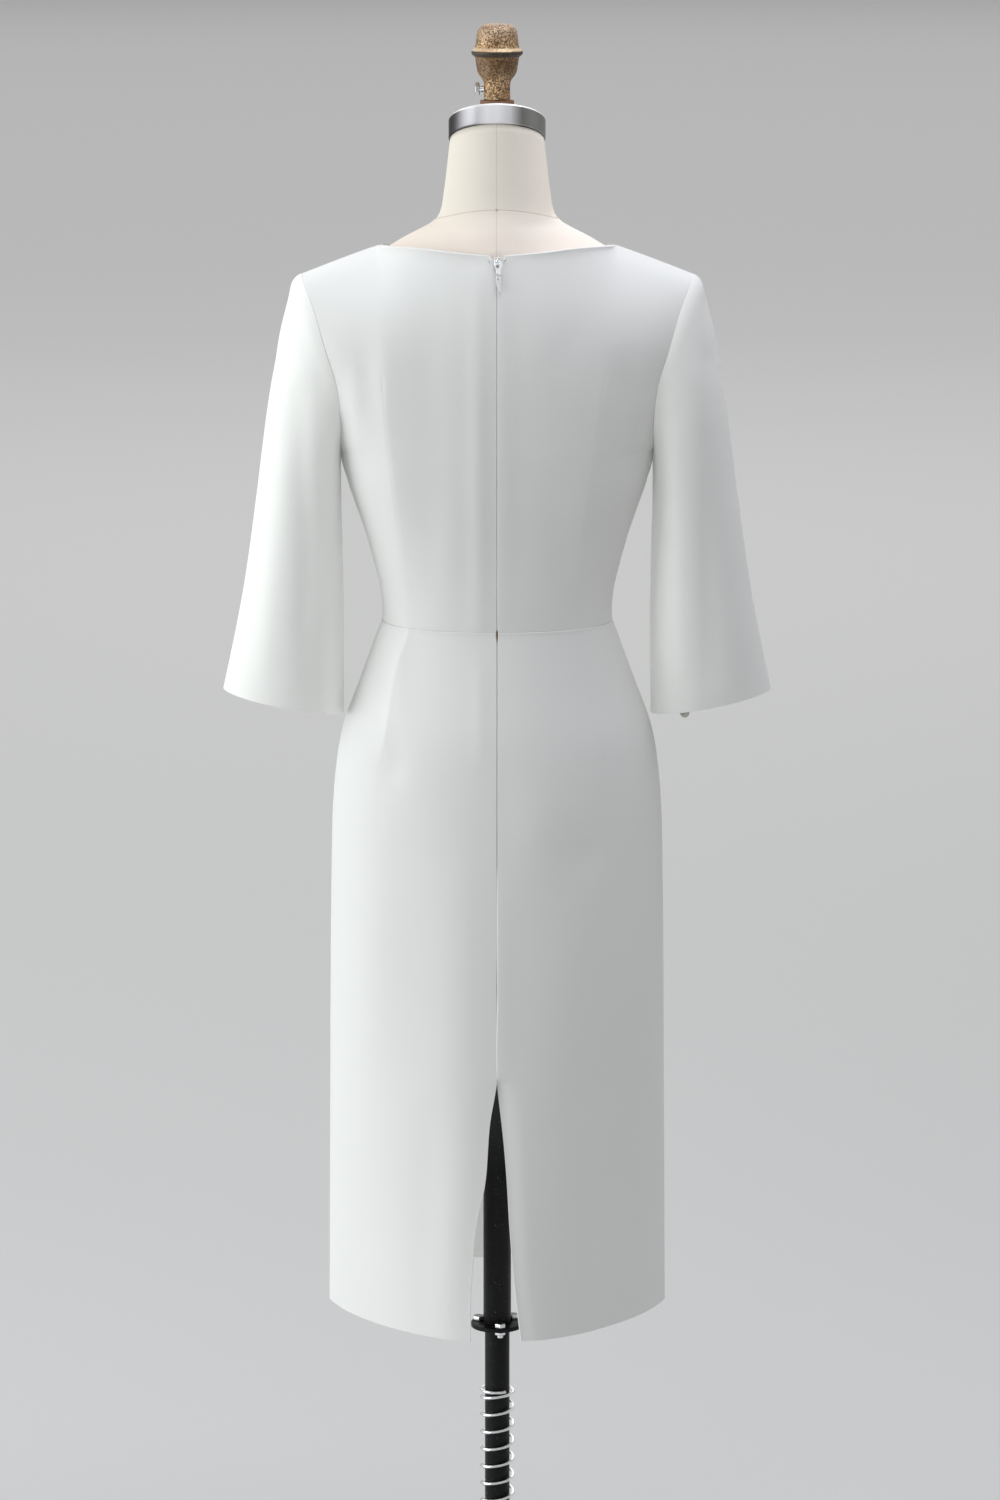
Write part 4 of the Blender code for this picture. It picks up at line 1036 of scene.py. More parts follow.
# %% Collar and finial
FINIAL_BOTTOM = 1.5885
SEAT = 0.0003
COLLAR_RADIUS = 0.0165


def collar_ring(share, grow, sides=96):
    """The collar's circle, this share of the way up from the cap's leaning top to the finial's foot."""
    turn = np.arange(sides) * 2 * np.pi / sides
    leaning_height = CAP_AXIS + SEAT - CAP_SLOPE * COLLAR_RADIUS * np.sin(turn)
    return np.stack([
        COLLAR_RADIUS * grow * np.cos(turn), COLLAR_RADIUS * grow * np.sin(turn),
        leaning_height * (1 - share) + share * FINIAL_BOTTOM,
    ], -1)


collar_steps = (0, 1), (0.93, 1), (0.98, 0.99), (0.999, 0.96)
collar = loft("collar", np.array([collar_ring(share, grow) for share, grow in collar_steps]))
settle(collar, "finial_collar")

FINIAL = [
    (0.0, 0.1), (12.9, 0.1), (12.7, 4.0), (12.6, 13.0), (12.8, 17.0), (14.6, 20.5), (17.2, 23.6),
    (19.0, 26.8), (19.9, 31.5), (20.6, 36.0), (21.2, 40.8), (22.4, 42.3), (24.3, 43.6), (25.0, 45.4),
    (24.6, 47.2), (23.2, 48.6), (21.6, 50.4), (20.7, 54.0), (20.2, 59.0), (19.8, 63.5), (18.9, 67.4),
    (16.6, 70.6), (12.0, 72.9), (5.0, 73.5), (0.0, 73.5),
]
finial_profile = rounded(FINIAL, 1.6) * (MM, MM) + (0, FINIAL_BOTTOM)
finial_profile[[0, -1], 0] = 0.0004
finial = lathe("cast_finial", finial_profile, 128)
settle(finial, "finial")
print("finial", len(finial.data.polygons), "faces")

# %% [markdown]
# ### Finial screw
#
# A hexagon-headed screw clamps the finial from the left. Its rings lie about the X axis. A hexagon is the
# circle's radius divided by a cosine that starts again at each flat.


# %% Finial screw
def hex_ring(across, reach, centre_y, centre_z, sides=48):
    """A ring about the X axis: six flats of this width, or round where across is negative.

    Its radius is half the width over the cosine of the angle from the middle of the nearest flat.
    """
    turn = np.arange(sides) * 2 * np.pi / sides
    from_flat = (turn + np.pi / 6) % (np.pi / 3) - np.pi / 6
    radius = across / 2 / np.cos(from_flat) if across > 0 else np.full(sides, -across / 2)
    upward = centre_z + radius * np.sin(turn)
    return np.stack([0 * turn - reach, centre_y + radius * np.cos(turn), upward], -1)


bolt_height = FINIAL_BOTTOM + 0.0108
bolt = loft("finial_screw", np.array([
    hex_ring(across, reach, 0.0, bolt_height)
    for across, reach in (
        (-0.006, 0.0128), (-0.006, 0.0168), (-0.0098, 0.0168), (0.0104, 0.0172), (0.0108, 0.0176),
        (0.0108, 0.0207), (0.0104, 0.0211), (-0.0094, 0.0214),
    )
]), sharp=20)
settle(bolt, "finial_bolt")
print("finial screw", len(bolt.data.polygons), "faces")

# %% [markdown]
# ## Zip
#
# An invisible zip shows almost nothing: its coil lies behind the seam, and only the slider and a long pull
# tab are seen at the top. The tab is a casting painted like the cloth, with a few small hollows in its face,
# and its tail bends a little to the right. Tab and slider are one kind of piece, a flat tongue whose outline
# is a table of half widths. The slider's crown is a small arch of wire that holds the tab.

# %% Zip
SLIDER = 359.8
PLATE_FACE, CROWN_OPEN, SLIDER_OUT = 0.0012, 0.0017, 0.0006
slider_at = -CENTRE_BACK.at("depth", [SLIDER - 2, SLIDER, SLIDER + 2])
slider_lean = -math.atan((slider_at[2] - slider_at[0]) / 4)
slider_place = np.array([0, slider_at[1] * MM - SLIDER_OUT, SLIDER * MM + WAIST])
lean_cos, lean_sin = math.cos(slider_lean), math.sin(slider_lean)
lean_matrix = np.array([[1, 0, 0], [0, lean_cos, -lean_sin], [0, lean_sin, lean_cos]])


def leaning(points_mm, origin=slider_place):
    """Points in the slider's own millimetres, leaned with the cloth behind it and set in its place."""
    return np.asarray(points_mm) * MM @ lean_matrix.T + origin


def tongue(name, table, thickness, origin, aside=0.0, bend=0.0, dents=()):
    """A flat tab from rows of (down, half width), in millimetres, whose face can carry small dents.

    Across it, the half thickness is a constant times (1 - u^8)^0.45, with u from -1 to 1, so its edges are
    round. It shrinks by a quarter circle at both ends. A dent is a soft step round an ellipse. Aside moves
    the tab over below its top, and bend curves its tail.
    """
    down, half = np.array(table, float).T
    v = np.linspace(down[0], down[-1], 121)
    width = smooth(down, half, v)
    u = np.sin(np.linspace(-np.pi / 2, np.pi / 2, 41))
    shift = aside * np.clip(v / 3, 0, 1) + bend * np.clip((v - 20) / 11, 0, 1) ** 2
    x = u * width[:, None] + shift[:, None]
    face = thickness / 2 * (1 - u**8)[None] ** 0.45 + 0 * x
    ends = np.clip(np.minimum(v - v[0], v[-1] - v) / 0.6, 0, 1)
    face = face * np.sqrt(1 - (1 - ends) ** 2)[:, None]
    dent = 0 * x
    for at_x, at_v, wide, long, deep in dents:
        inside = ((x - at_x) / wide) ** 2 + ((v[:, None] - at_v) / long) ** 2
        dent = dent + deep * soft_step(1 - inside, 1 / 6)
    front = np.stack([x, -face + dent, 0 * x - v[:, None]], -1)
    back = np.stack([x, face, 0 * x - v[:, None]], -1)
    return closed_shell(name, leaning(front, origin), leaning(back, origin), sharp=70)


crown_out = PLATE_FACE + CROWN_OPEN / 2
pull_origin = slider_place + (0, -crown_out * lean_cos, -crown_out * lean_sin)
PULL = [
    (-0.9, 2.0), (0.0, 3.0), (1.4, 3.8), (4.0, 4.0), (6.2, 3.6), (8.2, 2.8), (10.0, 2.55), (16.0, 2.7),
    (21.5, 2.7), (25.0, 2.2), (28.5, 1.5), (30.8, 0.7),
]
PULL_DENTS = (
    (0.3, 2.0, 1.3, 0.45, 0.55), (2.2, 4.4, 0.55, 0.55, 0.6), (0.3, 13.6, 0.7, 0.9, 0.6),
    (0.0, 17.4, 1.5, 0.28, 0.25), (0.0, 9.6, 1.4, 0.25, 0.2),
)
pull = tongue("pull", PULL, 1.3, pull_origin, aside=1.6, bend=1.8, dents=PULL_DENTS)
settle(pull, "zip_pull", "pull_tab")
SLIDER_PLATE = [(-4.2, 1.7), (-3.2, 2.7), (0.0, 2.8), (3.0, 2.8), (4.2, 1.7)]
plate = tongue("slider", SLIDER_PLATE, 1.2, slider_place - (0, SLIDER_OUT, 0))
turn = np.linspace(0, np.pi, 15)
arch_centre = np.stack([0 * turn, -1.2 - 1.7 * np.sin(turn) ** 0.8, 1.9 * np.cos(turn)], -1)
ring_turn = np.arange(12) * np.pi / 6
arch = leaning(np.stack([
    centre + np.outer(0.7 * np.cos(ring_turn), (1, 0, 0))
    + np.outer(0.5 * np.sin(ring_turn), (0, -math.sin(a), math.cos(a)))
    for centre, a in zip(arch_centre, turn)
]))
crown = loft("slider_crown", arch)
settle(plate, "zip_slider")
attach(crown, "dressed_form")
print("zip pull", len(pull.data.polygons), "faces")

# %% [markdown]
# ### Button
#
# One small greyish button sits inside the right cuff, and its lower half shows below the hem. It is turned
# with a raised rim, and it faces away from the sleeve's axis, as it would when sewn to the cuff.

# %% Button
SLEEVE_AXIS = 0.212
low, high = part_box("cuff_button")
button_centre = (np.array(low) + np.array(high)) / 2
BUTTON = [
    (0.0, -1.1), (3.4, -1.1), (4.9, -0.9), (5.4, -0.2), (5.4, 0.4), (5.0, 1.0), (4.3, 1.2), (3.7, 1.0),
    (3.0, 0.7), (0.0, 0.7),
]
button_profile = rounded(BUTTON, 0.4)
button_profile[[0, -1], 0] = 0.02
spin = np.arange(64) * 2 * np.pi / 64
button_axis = unit(np.array([button_centre[0] - SLEEVE_AXIS, button_centre[1], 0]))
button_side = np.cross(button_axis, (0, 0, 1))
button_turn = np.cos(spin)[:, None] * button_side + np.outer(np.sin(spin), (0, 0, 1))
button_out = button_profile[:, 0, None, None] * button_turn
button_grid = button_centre + MM * (button_out + button_profile[:, 1, None, None] * button_axis)
button = settle(loft("button", button_grid), "cuff_button")
print("button", len(button.data.polygons), "faces")

# %% [markdown]
# ## Stand
#
# A painted tube comes down from the form to a flange, where three bolts join it to the pole. The pole slides
# in a hub on a round base, and a chromed spring round it softens the drop. About the spring's seventh turn
# the photograph ends, so the hub, its clamp screw and the base are plain ones of the usual size.

# %% Tube, flange, pole, hub and base
FORM_BOTTOM, FLANGE_TOP, FLANGE_THICK, FLANGE_RADIUS = 0.760, 0.3595, 0.004, 0.0265
TUBE_RADIUS, POLE_RADIUS, POLE_BOTTOM = 0.0140, 0.0125, 0.062
HUB_TOP, HUB_RADIUS, HUB_BORE, HUB_FOOT = 0.145, 0.026, 0.0129, 0.036
PLATE_RADIUS, PLATE_THICK = 0.200, 0.014
flange_low = FLANGE_TOP - FLANGE_THICK
tube_low, tube_top = FLANGE_TOP + SEAT, FORM_BOTTOM - SEAT


def turned(name, node, profile, body, radius, sides=96):
    """A lathe piece with rounded corners, standing in for its solid."""
    return settle(lathe(name, rounded(profile, radius), sides), node, body)


turned("tube", "form_tube", [
    (TUBE_RADIUS - 0.001, tube_low), (TUBE_RADIUS, tube_low), (TUBE_RADIUS, tube_top),
    (TUBE_RADIUS - 0.001, tube_top),
], "dressed_form", 0.0006)
turned("flange_disc", "flange", [
    (0.0127, flange_low), (FLANGE_RADIUS, flange_low), (FLANGE_RADIUS, FLANGE_TOP), (0.0127, FLANGE_TOP),
], "dressed_form", 0.0006, 128)
turned("pole_tube", "pole", [
    (POLE_RADIUS - 0.001, POLE_BOTTOM), (POLE_RADIUS, POLE_BOTTOM), (POLE_RADIUS, flange_low - SEAT),
    (POLE_RADIUS - 0.001, flange_low - SEAT),
], "dressed_form", 0.0006)
hub_low = PLATE_THICK + SEAT
hub_profile = rounded([
    (HUB_BORE + 0.0004, hub_low), (HUB_FOOT, hub_low), (0.0320, 0.022), (HUB_RADIUS, 0.031),
    (HUB_RADIUS, HUB_TOP), (HUB_BORE, HUB_TOP), (HUB_BORE, hub_low), (HUB_BORE + 0.0004, hub_low),
], 0.0012)
hub_turn = np.arange(96) * 2 * np.pi / 96
hub_grid = hub_profile[:-1, 0, None, None] * np.stack([np.cos(hub_turn), np.sin(hub_turn), 0 * hub_turn], -1)
hub_grid = hub_grid + hub_profile[:-1, 1, None, None] * (0, 0, 1)
settle(loft("hub_casting", hub_grid, closed=True), "hub", "base")
turned("base", "base_plate", [
    (0.001, 0.0), (PLATE_RADIUS, 0.0), (PLATE_RADIUS, 0.008), (PLATE_RADIUS - 0.006, PLATE_THICK),
    (0.001, PLATE_THICK),
], "base", 0.002, 192)
print("tube, flange, pole, hub and base made")

# %% [markdown]
# ### Flange bolts
#
# Three bolts with nuts stand in a circle on the flange, the first one towards the camera. Each is a stack of
# rings, from the shank's end under the nut up to the head, so the shank, nut and head are one skin.

# %% Flange bolts
BOLT_CIRCLE, FIRST_BOLT = 0.020, -81.4


def bolt_ring(across, height, centre):
    """A ring about an upright axis: hexagonal, or round where across is negative."""
    ring = hex_ring(across, 0, 0, 0)
    return np.stack([centre[0] + ring[:, 1], centre[1] + ring[:, 2], 0 * ring[:, 0] + height], -1)


head, under = FLANGE_TOP + SEAT, flange_low - SEAT
BOLT = (
    (-0.0052, under - 0.0066), (-0.0060, under - 0.0060), (-0.0060, under - 0.0033),
    (-0.0090, under - 0.0033), (0.0097, under - 0.0029), (0.0100, under - 0.0026), (0.0100, under - 0.0005),
    (-0.0092, under), (-0.0060, under), (-0.0060, head), (-0.0092, head), (0.0100, head + 0.0004),
    (0.0100, head + 0.0034), (0.0097, head + 0.0039), (-0.0088, head + 0.0042),
)
for number in range(3):
    turn = math.radians(FIRST_BOLT) + number * 2 * math.pi / 3
    centre = BOLT_CIRCLE * math.cos(turn), BOLT_CIRCLE * math.sin(turn)
    rings = [bolt_ring(across, height, centre) for across, height in BOLT]
    piece = loft(f"bolt_{number + 1}", np.array(rings), sharp=22)
    settle(piece, f"flange_bolt_{number + 1}")
print("bolts", len(piece.data.polygons), "faces each")

# %% [markdown]
# ### Clamp screw
#
# A screw with a knurled knob holds the pole at its height. The knurl is a cosine wave on the knob's radius,
# with eighteen ridges.

# %% Clamp screw
CLAMP_HEIGHT = 0.105
clamp_foot = HUB_RADIUS + SEAT
screw_turn = np.arange(72) * 2 * np.pi / 72
knurl = 1 + 0.03 * np.cos(18 * screw_turn)


def clamp_ring(reach, radius):
    """A ring about the X axis, this far out from the hub; the radius may differ round it."""
    upward = CLAMP_HEIGHT + radius * np.sin(screw_turn)
    return np.stack([0 * screw_turn + clamp_foot + reach, radius * np.cos(screw_turn), upward], -1)


screw = loft("clamp_knob", np.array([
    clamp_ring(reach, radius) for reach, radius in (
        (0, 0.005), (0.010, 0.005), (0.010, 0.0155), (0.011, 0.0163 * knurl), (0.012, 0.0167 * knurl),
        (0.022, 0.0165 * knurl), (0.023, 0.016 * knurl), (0.024, 0.0145),
    )
]))
settle(screw, "clamp_screw", "base")
print("clamp screw", len(screw.data.polygons), "faces")

# %% [markdown]
# ### Spring
#
# Chromed wire wound right-handed, with a closed turn at each end. A ring of points is carried along the
# helix, square to it, so the wire keeps its full thickness.

# %% Spring
SPRING_TOP, TURNS, SPRING_END = 0.2915, 9.45, -60
WIRE, COIL, CLOSED_RISE = 0.0017, 0.0163, 0.0037
turn = np.linspace(0, TURNS, int(TURNS * 48) + 1)
bottom, top = HUB_TOP + SEAT + WIRE, SPRING_TOP - WIRE
rise = [bottom, bottom + CLOSED_RISE, top - CLOSED_RISE, top]
height = np.interp(turn, [0, 1, TURNS - 1, TURNS], rise)
kernel = np.hanning(25)
height = np.convolve(np.pad(height, 12, mode="edge"), kernel / kernel.sum(), mode="valid")
angle = 2 * np.pi * (turn - TURNS) + math.radians(SPRING_END)
centre_line = np.stack([COIL * np.cos(angle), COIL * np.sin(angle), height], -1)
along = unit(np.gradient(centre_line, axis=0))
out = np.stack([np.cos(angle), np.sin(angle), 0 * angle], -1)
upward = unit(np.cross(along, out))
section = np.arange(20) * 2 * np.pi / 20
spring_grid = centre_line[:, None] + WIRE * (
    np.cos(section)[:, None] * out[:, None] + np.sin(section)[:, None] * upward[:, None]
)
settle(loft("spring_wire", spring_grid, sharp=70), "spring", "base")
print("spring", spring_grid.shape)

# %% [markdown]
# ## Finishes
#
# One small class lets shader sums be written like ordinary ones. It wraps a node's output, and adding,
# multiplying or comparing two of them places a maths node.


# %% Shader helper
class Value:
    """A shader socket that ordinary operators work on."""

    def __init__(self, tree, socket):
        self.tree, self.socket = tree, socket

    def maths(self, operation, *inputs):
        """One maths node: this value first, then numbers or other values."""
        node = self.tree.nodes.new("ShaderNodeMath")
        node.operation = operation
        for place, given in enumerate((self, *inputs)):
            if isinstance(given, Value):
                self.tree.links.new(given.socket, node.inputs[place])
            else:
                node.inputs[place].default_value = given
        return Value(self.tree, node.outputs[0])

    def __add__(self, other):
        return self.maths("ADD", other)

    __radd__ = __add__

    def __mul__(self, other):
        return self.maths("MULTIPLY", other)

    __rmul__ = __mul__

    def __sub__(self, other):
        return self.maths("SUBTRACT", other)

    def __rsub__(self, other):
        return (self * -1.0) + other

    def __truediv__(self, other):
        return self.maths("DIVIDE", other)

    def clamped(self):
        """Kept between 0 and 1."""
        return self.maths("MAXIMUM", 0.0).maths("MINIMUM", 1.0)

    def line(self, width):
        """1 where this value is 0, falling to 0 at the given distance."""
        return (1.0 - self.maths("ABSOLUTE") / width).clamped()


class Finish:
    """A material under construction: its tree, its Principled shader and its ways to add nodes."""

    def __init__(self, name, colour, roughness, metallic=0.0, **constants):
        self.material = bpy.data.materials.new(name)
        self.material.use_nodes = True
        self.tree = self.material.node_tree
        self.surface = self.tree.nodes["Principled BSDF"]
        self.set("Base Color", (*colour, 1))
        self.set("Roughness", roughness)
        self.set("Metallic", metallic)
        for socket, value in constants.items():
            self.set(socket.replace("_", " "), value)

    def set(self, socket, value):
        """Give one of the surface's sockets a constant."""
        self.surface.inputs[socket].default_value = value

    def node(self, kind, settings=(), **sockets):
        """Any node: its settings first, then its sockets."""
        made = self.tree.nodes.new("ShaderNode" + kind)
        for setting, value in dict(settings).items():
            setattr(made, setting, value)
        for socket, value in sockets.items():
            target = made.inputs[socket.replace("_", " ")]
            if isinstance(value, Value):
                self.tree.links.new(value.socket, target)
            else:
                target.default_value = value
        return made

    def out(self, node, socket=0):
        """A node's output, ready for sums."""
        return Value(self.tree, node.outputs[socket])

    def object_place(self):
        """Where the point lies in metres. No piece is moved, so this is its place in the room as well."""
        return self.out(self.node("TexCoord"), "Object")

    def cloth_place(self):
        """Where the point lies on its unrolled panel, in metres."""
        return self.out(self.node("UVMap", {"uv_map": "cloth"}))

    def parts(self, vector):
        """The three numbers of a vector: to the right, away from the camera, and up."""
        split = self.node("SeparateXYZ", Vector=vector)
        return [self.out(split, axis) for axis in range(3)]

    def noise(self, place, scale, detail=3.0, roughness=0.5):
        """Soft random spots between 0 and 1, about one in each metre divided by the scale."""
        made = self.node("TexNoise", Vector=place, Scale=scale, Detail=detail, Roughness=roughness)
        return self.out(made, "Fac")

    def mixed(self, factor, first, second):
        """Two colours, mixed by a factor."""
        made = self.tree.nodes.new("ShaderNodeMix")
        made.data_type = "RGBA"
        self.tree.links.new(factor.socket, made.inputs["Factor"])
        for socket, value in ((made.inputs[6], first), (made.inputs[7], second)):
            if isinstance(value, Value):
                self.tree.links.new(value.socket, socket)
            else:
                socket.default_value = (*value, 1)
        return Value(self.tree, made.outputs[2])

    def feed(self, socket, value):
        """Let a varying value drive one of the surface's sockets."""
        self.tree.links.new(value.socket, self.surface.inputs[socket])

    def bump(self, height, distance, strength=1.0):
        """Light the surface as if this height, times the distance in metres, stood up from it."""
        made = self.node("Bump", Height=height, Distance=distance, Strength=strength)
        self.feed("Normal", self.out(made))


print("shader helper ready")

# %% [markdown]
# ### Crepe
#
# Crepe is woven from tightly twisted yarn, so its face is finely pebbled and dull, with the faintest sheen at
# a slant. The grain here is about half a millimetre, so it hardly shows at arm's length, and a broader, very
# faint unevenness keeps the large panels from looking like plaster. White cloth also lets light through,
# which a closed shell with a plain surface doesn't. So that light is painted in, as a paler colour and a very
# faint glow, on the skirt's inner faces below the hips, which show through the vent, on the sleeves' sides
# next to the body, and on the left sleeve. The sleeves have a crepe of their own, which differs only in where
# its painted light lies.


# %% Crepe finish
def crepe_cloth(name, lit_through):
    """The dress's crepe with painted light: paler and glowing very faintly by the share that its second
    argument gives.
    """
    crepe = Finish(
        name, (0.78, 0.78, 0.77), 0.62, Specular_IOR_Level=0.3, Sheen_Weight=0.05, Sheen_Roughness=0.5,
    )
    cloth_uv = crepe.cloth_place()
    crepe.bump(crepe.noise(cloth_uv, 1700.0, 2.0), 0.00010, 0.6)
    plain = crepe.mixed(crepe.noise(cloth_uv, 9.0, 2.0), (0.765, 0.762, 0.752), (0.785, 0.782, 0.770))
    # Painted light: a paler colour and a faint glow, by the share given for each place.
    lit = lit_through(crepe)
    crepe.feed("Base Color", crepe.mixed(lit, plain, (0.90, 0.90, 0.87)))
    crepe.feed("Emission Color", crepe.mixed(lit, (0, 0, 0), (0.92, 1.0, 0.96)))
    crepe.set("Emission Strength", 0.10)
    return crepe


def inside_skirt(crepe):
    """Where painted light goes inside the skirt: 1 on inner faces well below the hips, from each point's own
    mark, and 0 on outer ones.
    """
    below_hip = ((WAIST - 0.2 - crepe.parts(crepe.object_place())[2]) * 5.0).clamped()
    return below_hip * crepe.out(crepe.node("Attribute", {"attribute_name": "inside"}), "Fac")


def beside_body(crepe):
    """The share of painted light on the sleeves: 0.8 on both sleeves' inner sides, and 0.6 at least over the
    whole left sleeve.
    """
    east = crepe.parts(crepe.object_place())[0]
    near_body = ((0.200 - east.maths("ABSOLUTE")) * 30.0).clamped() * 0.8
    return near_body.maths("MAXIMUM", ((-0.15 - east) * 40.0).clamped() * 0.6)


body_crepe = crepe_cloth("crepe", inside_skirt)
sleeve_crepe = crepe_cloth("crepe_sleeve", beside_body)
for name in cloth_nodes:
    chosen = sleeve_crepe if "sleeve" in name else body_crepe
    sheets[name][0].data.materials.append(chosen.material)
print("crepe on", len(cloth_nodes), "panels")

# %% [markdown]
# ### Linen
#
# Linen is plain weave: two fine waves crossed. Its centre back seam and the seam round the neck's foot are
# thin darker lines that sink in a little, with a dark knot where they cross. On the neck and on the shoulders
# the cover's colour goes from darker on the left to paler on the right: painted shade on the left and painted
# light on the right. It is a little pinker on the shoulders.

# %% Linen
NECK_SEAM, BACK_SEAM = WAIST + 0.4066, 0.0004
linen = Finish("linen", (0.80, 0.74, 0.66), 0.85, Specular_IOR_Level=0.2)
place = linen.object_place()
east, north, upward_place = linen.parts(place)
weave = (east * 5200.0).maths("SINE") * (upward_place * 5200.0).maths("SINE")
# Painted shade on the left and painted light on the right: the neck's and shoulders' cover goes from darker
# to paler towards the right.
painted_light_to_right = ((east + 0.045) * 11.0).clamped()
pale_linen = linen.mixed(linen.noise(place, 60.0, 4.0), (0.88, 0.81, 0.72), (0.94, 0.88, 0.79))
neck_cover = linen.mixed(painted_light_to_right, (0.775, 0.72, 0.64), pale_linen)
shoulder_cover = linen.mixed(painted_light_to_right, (0.80, 0.71, 0.635), (0.97, 0.87, 0.79))
below_seam = ((WAIST + 0.404 - upward_place) * 60.0).clamped()
cover = linen.mixed(below_seam, neck_cover, shoulder_cover)
behind = (north * -1.0).maths("GREATER_THAN", 0.0)
stitch = ((upward_place * 2200.0).maths("SINE") + 0.4).clamped()
aside = east + BACK_SEAM
back_seam = aside.line(0.0006) * behind * (stitch * 0.6 + 0.4)
rise = upward_place - NECK_SEAM + east * east * 3.4
seams = back_seam.maths("MAXIMUM", rise.line(0.0007) * behind)
knot = (rise * rise + aside * aside).line(0.0000032) * behind
seam_dark = (seams * 0.45).maths("MAXIMUM", knot * 0.85)
linen.feed("Base Color", linen.mixed(seam_dark, cover, (0.40, 0.30, 0.22)))
linen.bump(weave * 0.5 - seams * 4.0, 0.00012, 0.5)
form.data.materials.append(linen.material)
print("linen", len(linen.tree.nodes), "nodes")

# %% [markdown]
# ### Brushed cap and its collar
#
# Brushed steel has fine lines round it. Here a bright metal has only the lamps and a plain floor to mirror,
# so its reflections are painted into the cap's colour: a painted dark reflection at its left end and dimmer
# painted reflections on either side of its middle, and its middle is made less metallic. The rounded rim
# stays bright all round. The collar is a rough rusty brown.

# %% Steel and rust
steel = Finish("brushed", (0.62, 0.61, 0.63), 0.42, 1.0)
place = steel.object_place()
east, north, upward_place = steel.parts(place)
stretch = steel.node("Mapping", Vector=place, Scale=(30.0, 30.0, 2600.0))
lines = steel.noise(steel.out(stretch), 1.0, 3.0)
steel.bump(lines, 0.00008, 0.4)
# Painted reflections: a dark end on the left, and dimmer stretches on either side of the cap's middle.
past_dark_reflection = ((east + 0.0445) * 32.0).clamped()
dim_reflection_right = ((east - 0.0130) * 90.0).clamped()
dim_reflection_left = ((-0.0090 - east) * 90.0).clamped()
tone = steel.mixed(dim_reflection_right, (0.97, 0.96, 0.98), (0.31, 0.31, 0.30))
tone = steel.mixed(dim_reflection_left, tone, (0.50, 0.49, 0.52))
tone = steel.mixed(past_dark_reflection, (0.045, 0.04, 0.04), tone)
steel.feed("Metallic", 1.0 - (east - 0.001).line(0.022) * 0.95)
below_rim = ((CAP_AXIS - 0.0021 - upward_place - north * CAP_SLOPE) * 1500.0).clamped()
steel.feed("Base Color", steel.mixed(below_rim, (0.97, 0.97, 0.97), tone))
cap.data.materials.append(steel.material)
rust = Finish("rusty_washer", (0.20, 0.10, 0.06), 0.7, 0.3)
rust.bump(rust.noise(rust.object_place(), 900.0, 3.0), 0.0002, 0.5)
collar.data.materials.append(rust.material)
print("steel", len(steel.tree.nodes), "nodes")

# %% [markdown]
# ### Cast bronze
#
# Sand leaves small pits in a casting, and age browns it. The pits are dark against patches of two golds, and
# the bulb under the ring is darker. The dome has painted light, so it is a little paler. The ring is nearly
# black, with a painted highlight as a bright line just above it. A small hole in the stem, on the right, is
# only painted shade: a dark spot in the colour.

# %% Bronze
RING, RING_TOP, BULB, DOME = (FINIAL_BOTTOM + up for up in (0.0445, 0.0489, 0.033, 0.055))
HOLE_ASIDE, HOLE_HEIGHT = 0.0121, FINIAL_BOTTOM + 0.011
bronze = Finish("bronze", (0.45, 0.28, 0.14), 0.45, 0.25)
place = bronze.object_place()
east, north, upward_place = bronze.parts(place)
grain = bronze.noise(place, 600.0, 3.0, 0.6)
unpitted = ((grain - 0.46) * 8.0).clamped()
patches = ((bronze.noise(place, 60.0, 2.0) - 0.40) * 5.0).clamped()
gold = bronze.mixed(patches, (0.50, 0.27, 0.11), (0.74, 0.50, 0.26))
brown = bronze.mixed(unpitted, (0.13, 0.068, 0.028), gold)
on_bulb = ((upward_place - BULB).line(0.0155) * 1.4).clamped()
brown = bronze.mixed(on_bulb * 0.55, brown, (0.07, 0.038, 0.016))
# Painted light: the dome is a little paler.
on_dome = ((upward_place - DOME) * 110.0).clamped()
brown = bronze.mixed(on_dome * (0.12 + unpitted * 0.2), brown, (0.74, 0.60, 0.50))
# Painted highlight: a bright line just above the ring.
brown = bronze.mixed((upward_place - RING_TOP).line(0.0024) * 0.7, brown, (0.90, 0.68, 0.45))
on_ring = (upward_place - RING).line(0.0027).maths("GREATER_THAN", 0.02)
beside, above = east - HOLE_ASIDE, upward_place - HOLE_HEIGHT
behind = (north * -1.0).maths("GREATER_THAN", 0.0)
# Painted shade of a small hole in the stem, as a dark spot.
hole_shade = (beside * beside + above * above).line(0.0000016) * behind
dark_marks = (on_ring * 0.9).maths("MAXIMUM", hole_shade * 0.95)
bronze.feed("Base Color", bronze.mixed(dark_marks, brown, (0.03, 0.025, 0.02)))
bronze.bump(grain, 0.0009, 0.7)
finial.data.materials.append(bronze.material)
print("bronze", len(bronze.tree.nodes), "nodes")

# %% [markdown]
# ### Zinc, black paint and chrome
#
# The bolts and the slider are zinc plated, with painted dark reflections where the surface is seen at a
# slant. The stand's paint is a satin black with a few pale specks of dust, and painted light makes it greyer
# high up on the tube, inside the skirt. The spring is chromed wire, its mirror a little uneven.

# %% Zinc, paint and chrome
zinc = Finish("zinc", (0.86, 0.88, 0.89), 0.28, 1.0)
slant = zinc.out(zinc.node("LayerWeight", Blend=0.4), "Facing")
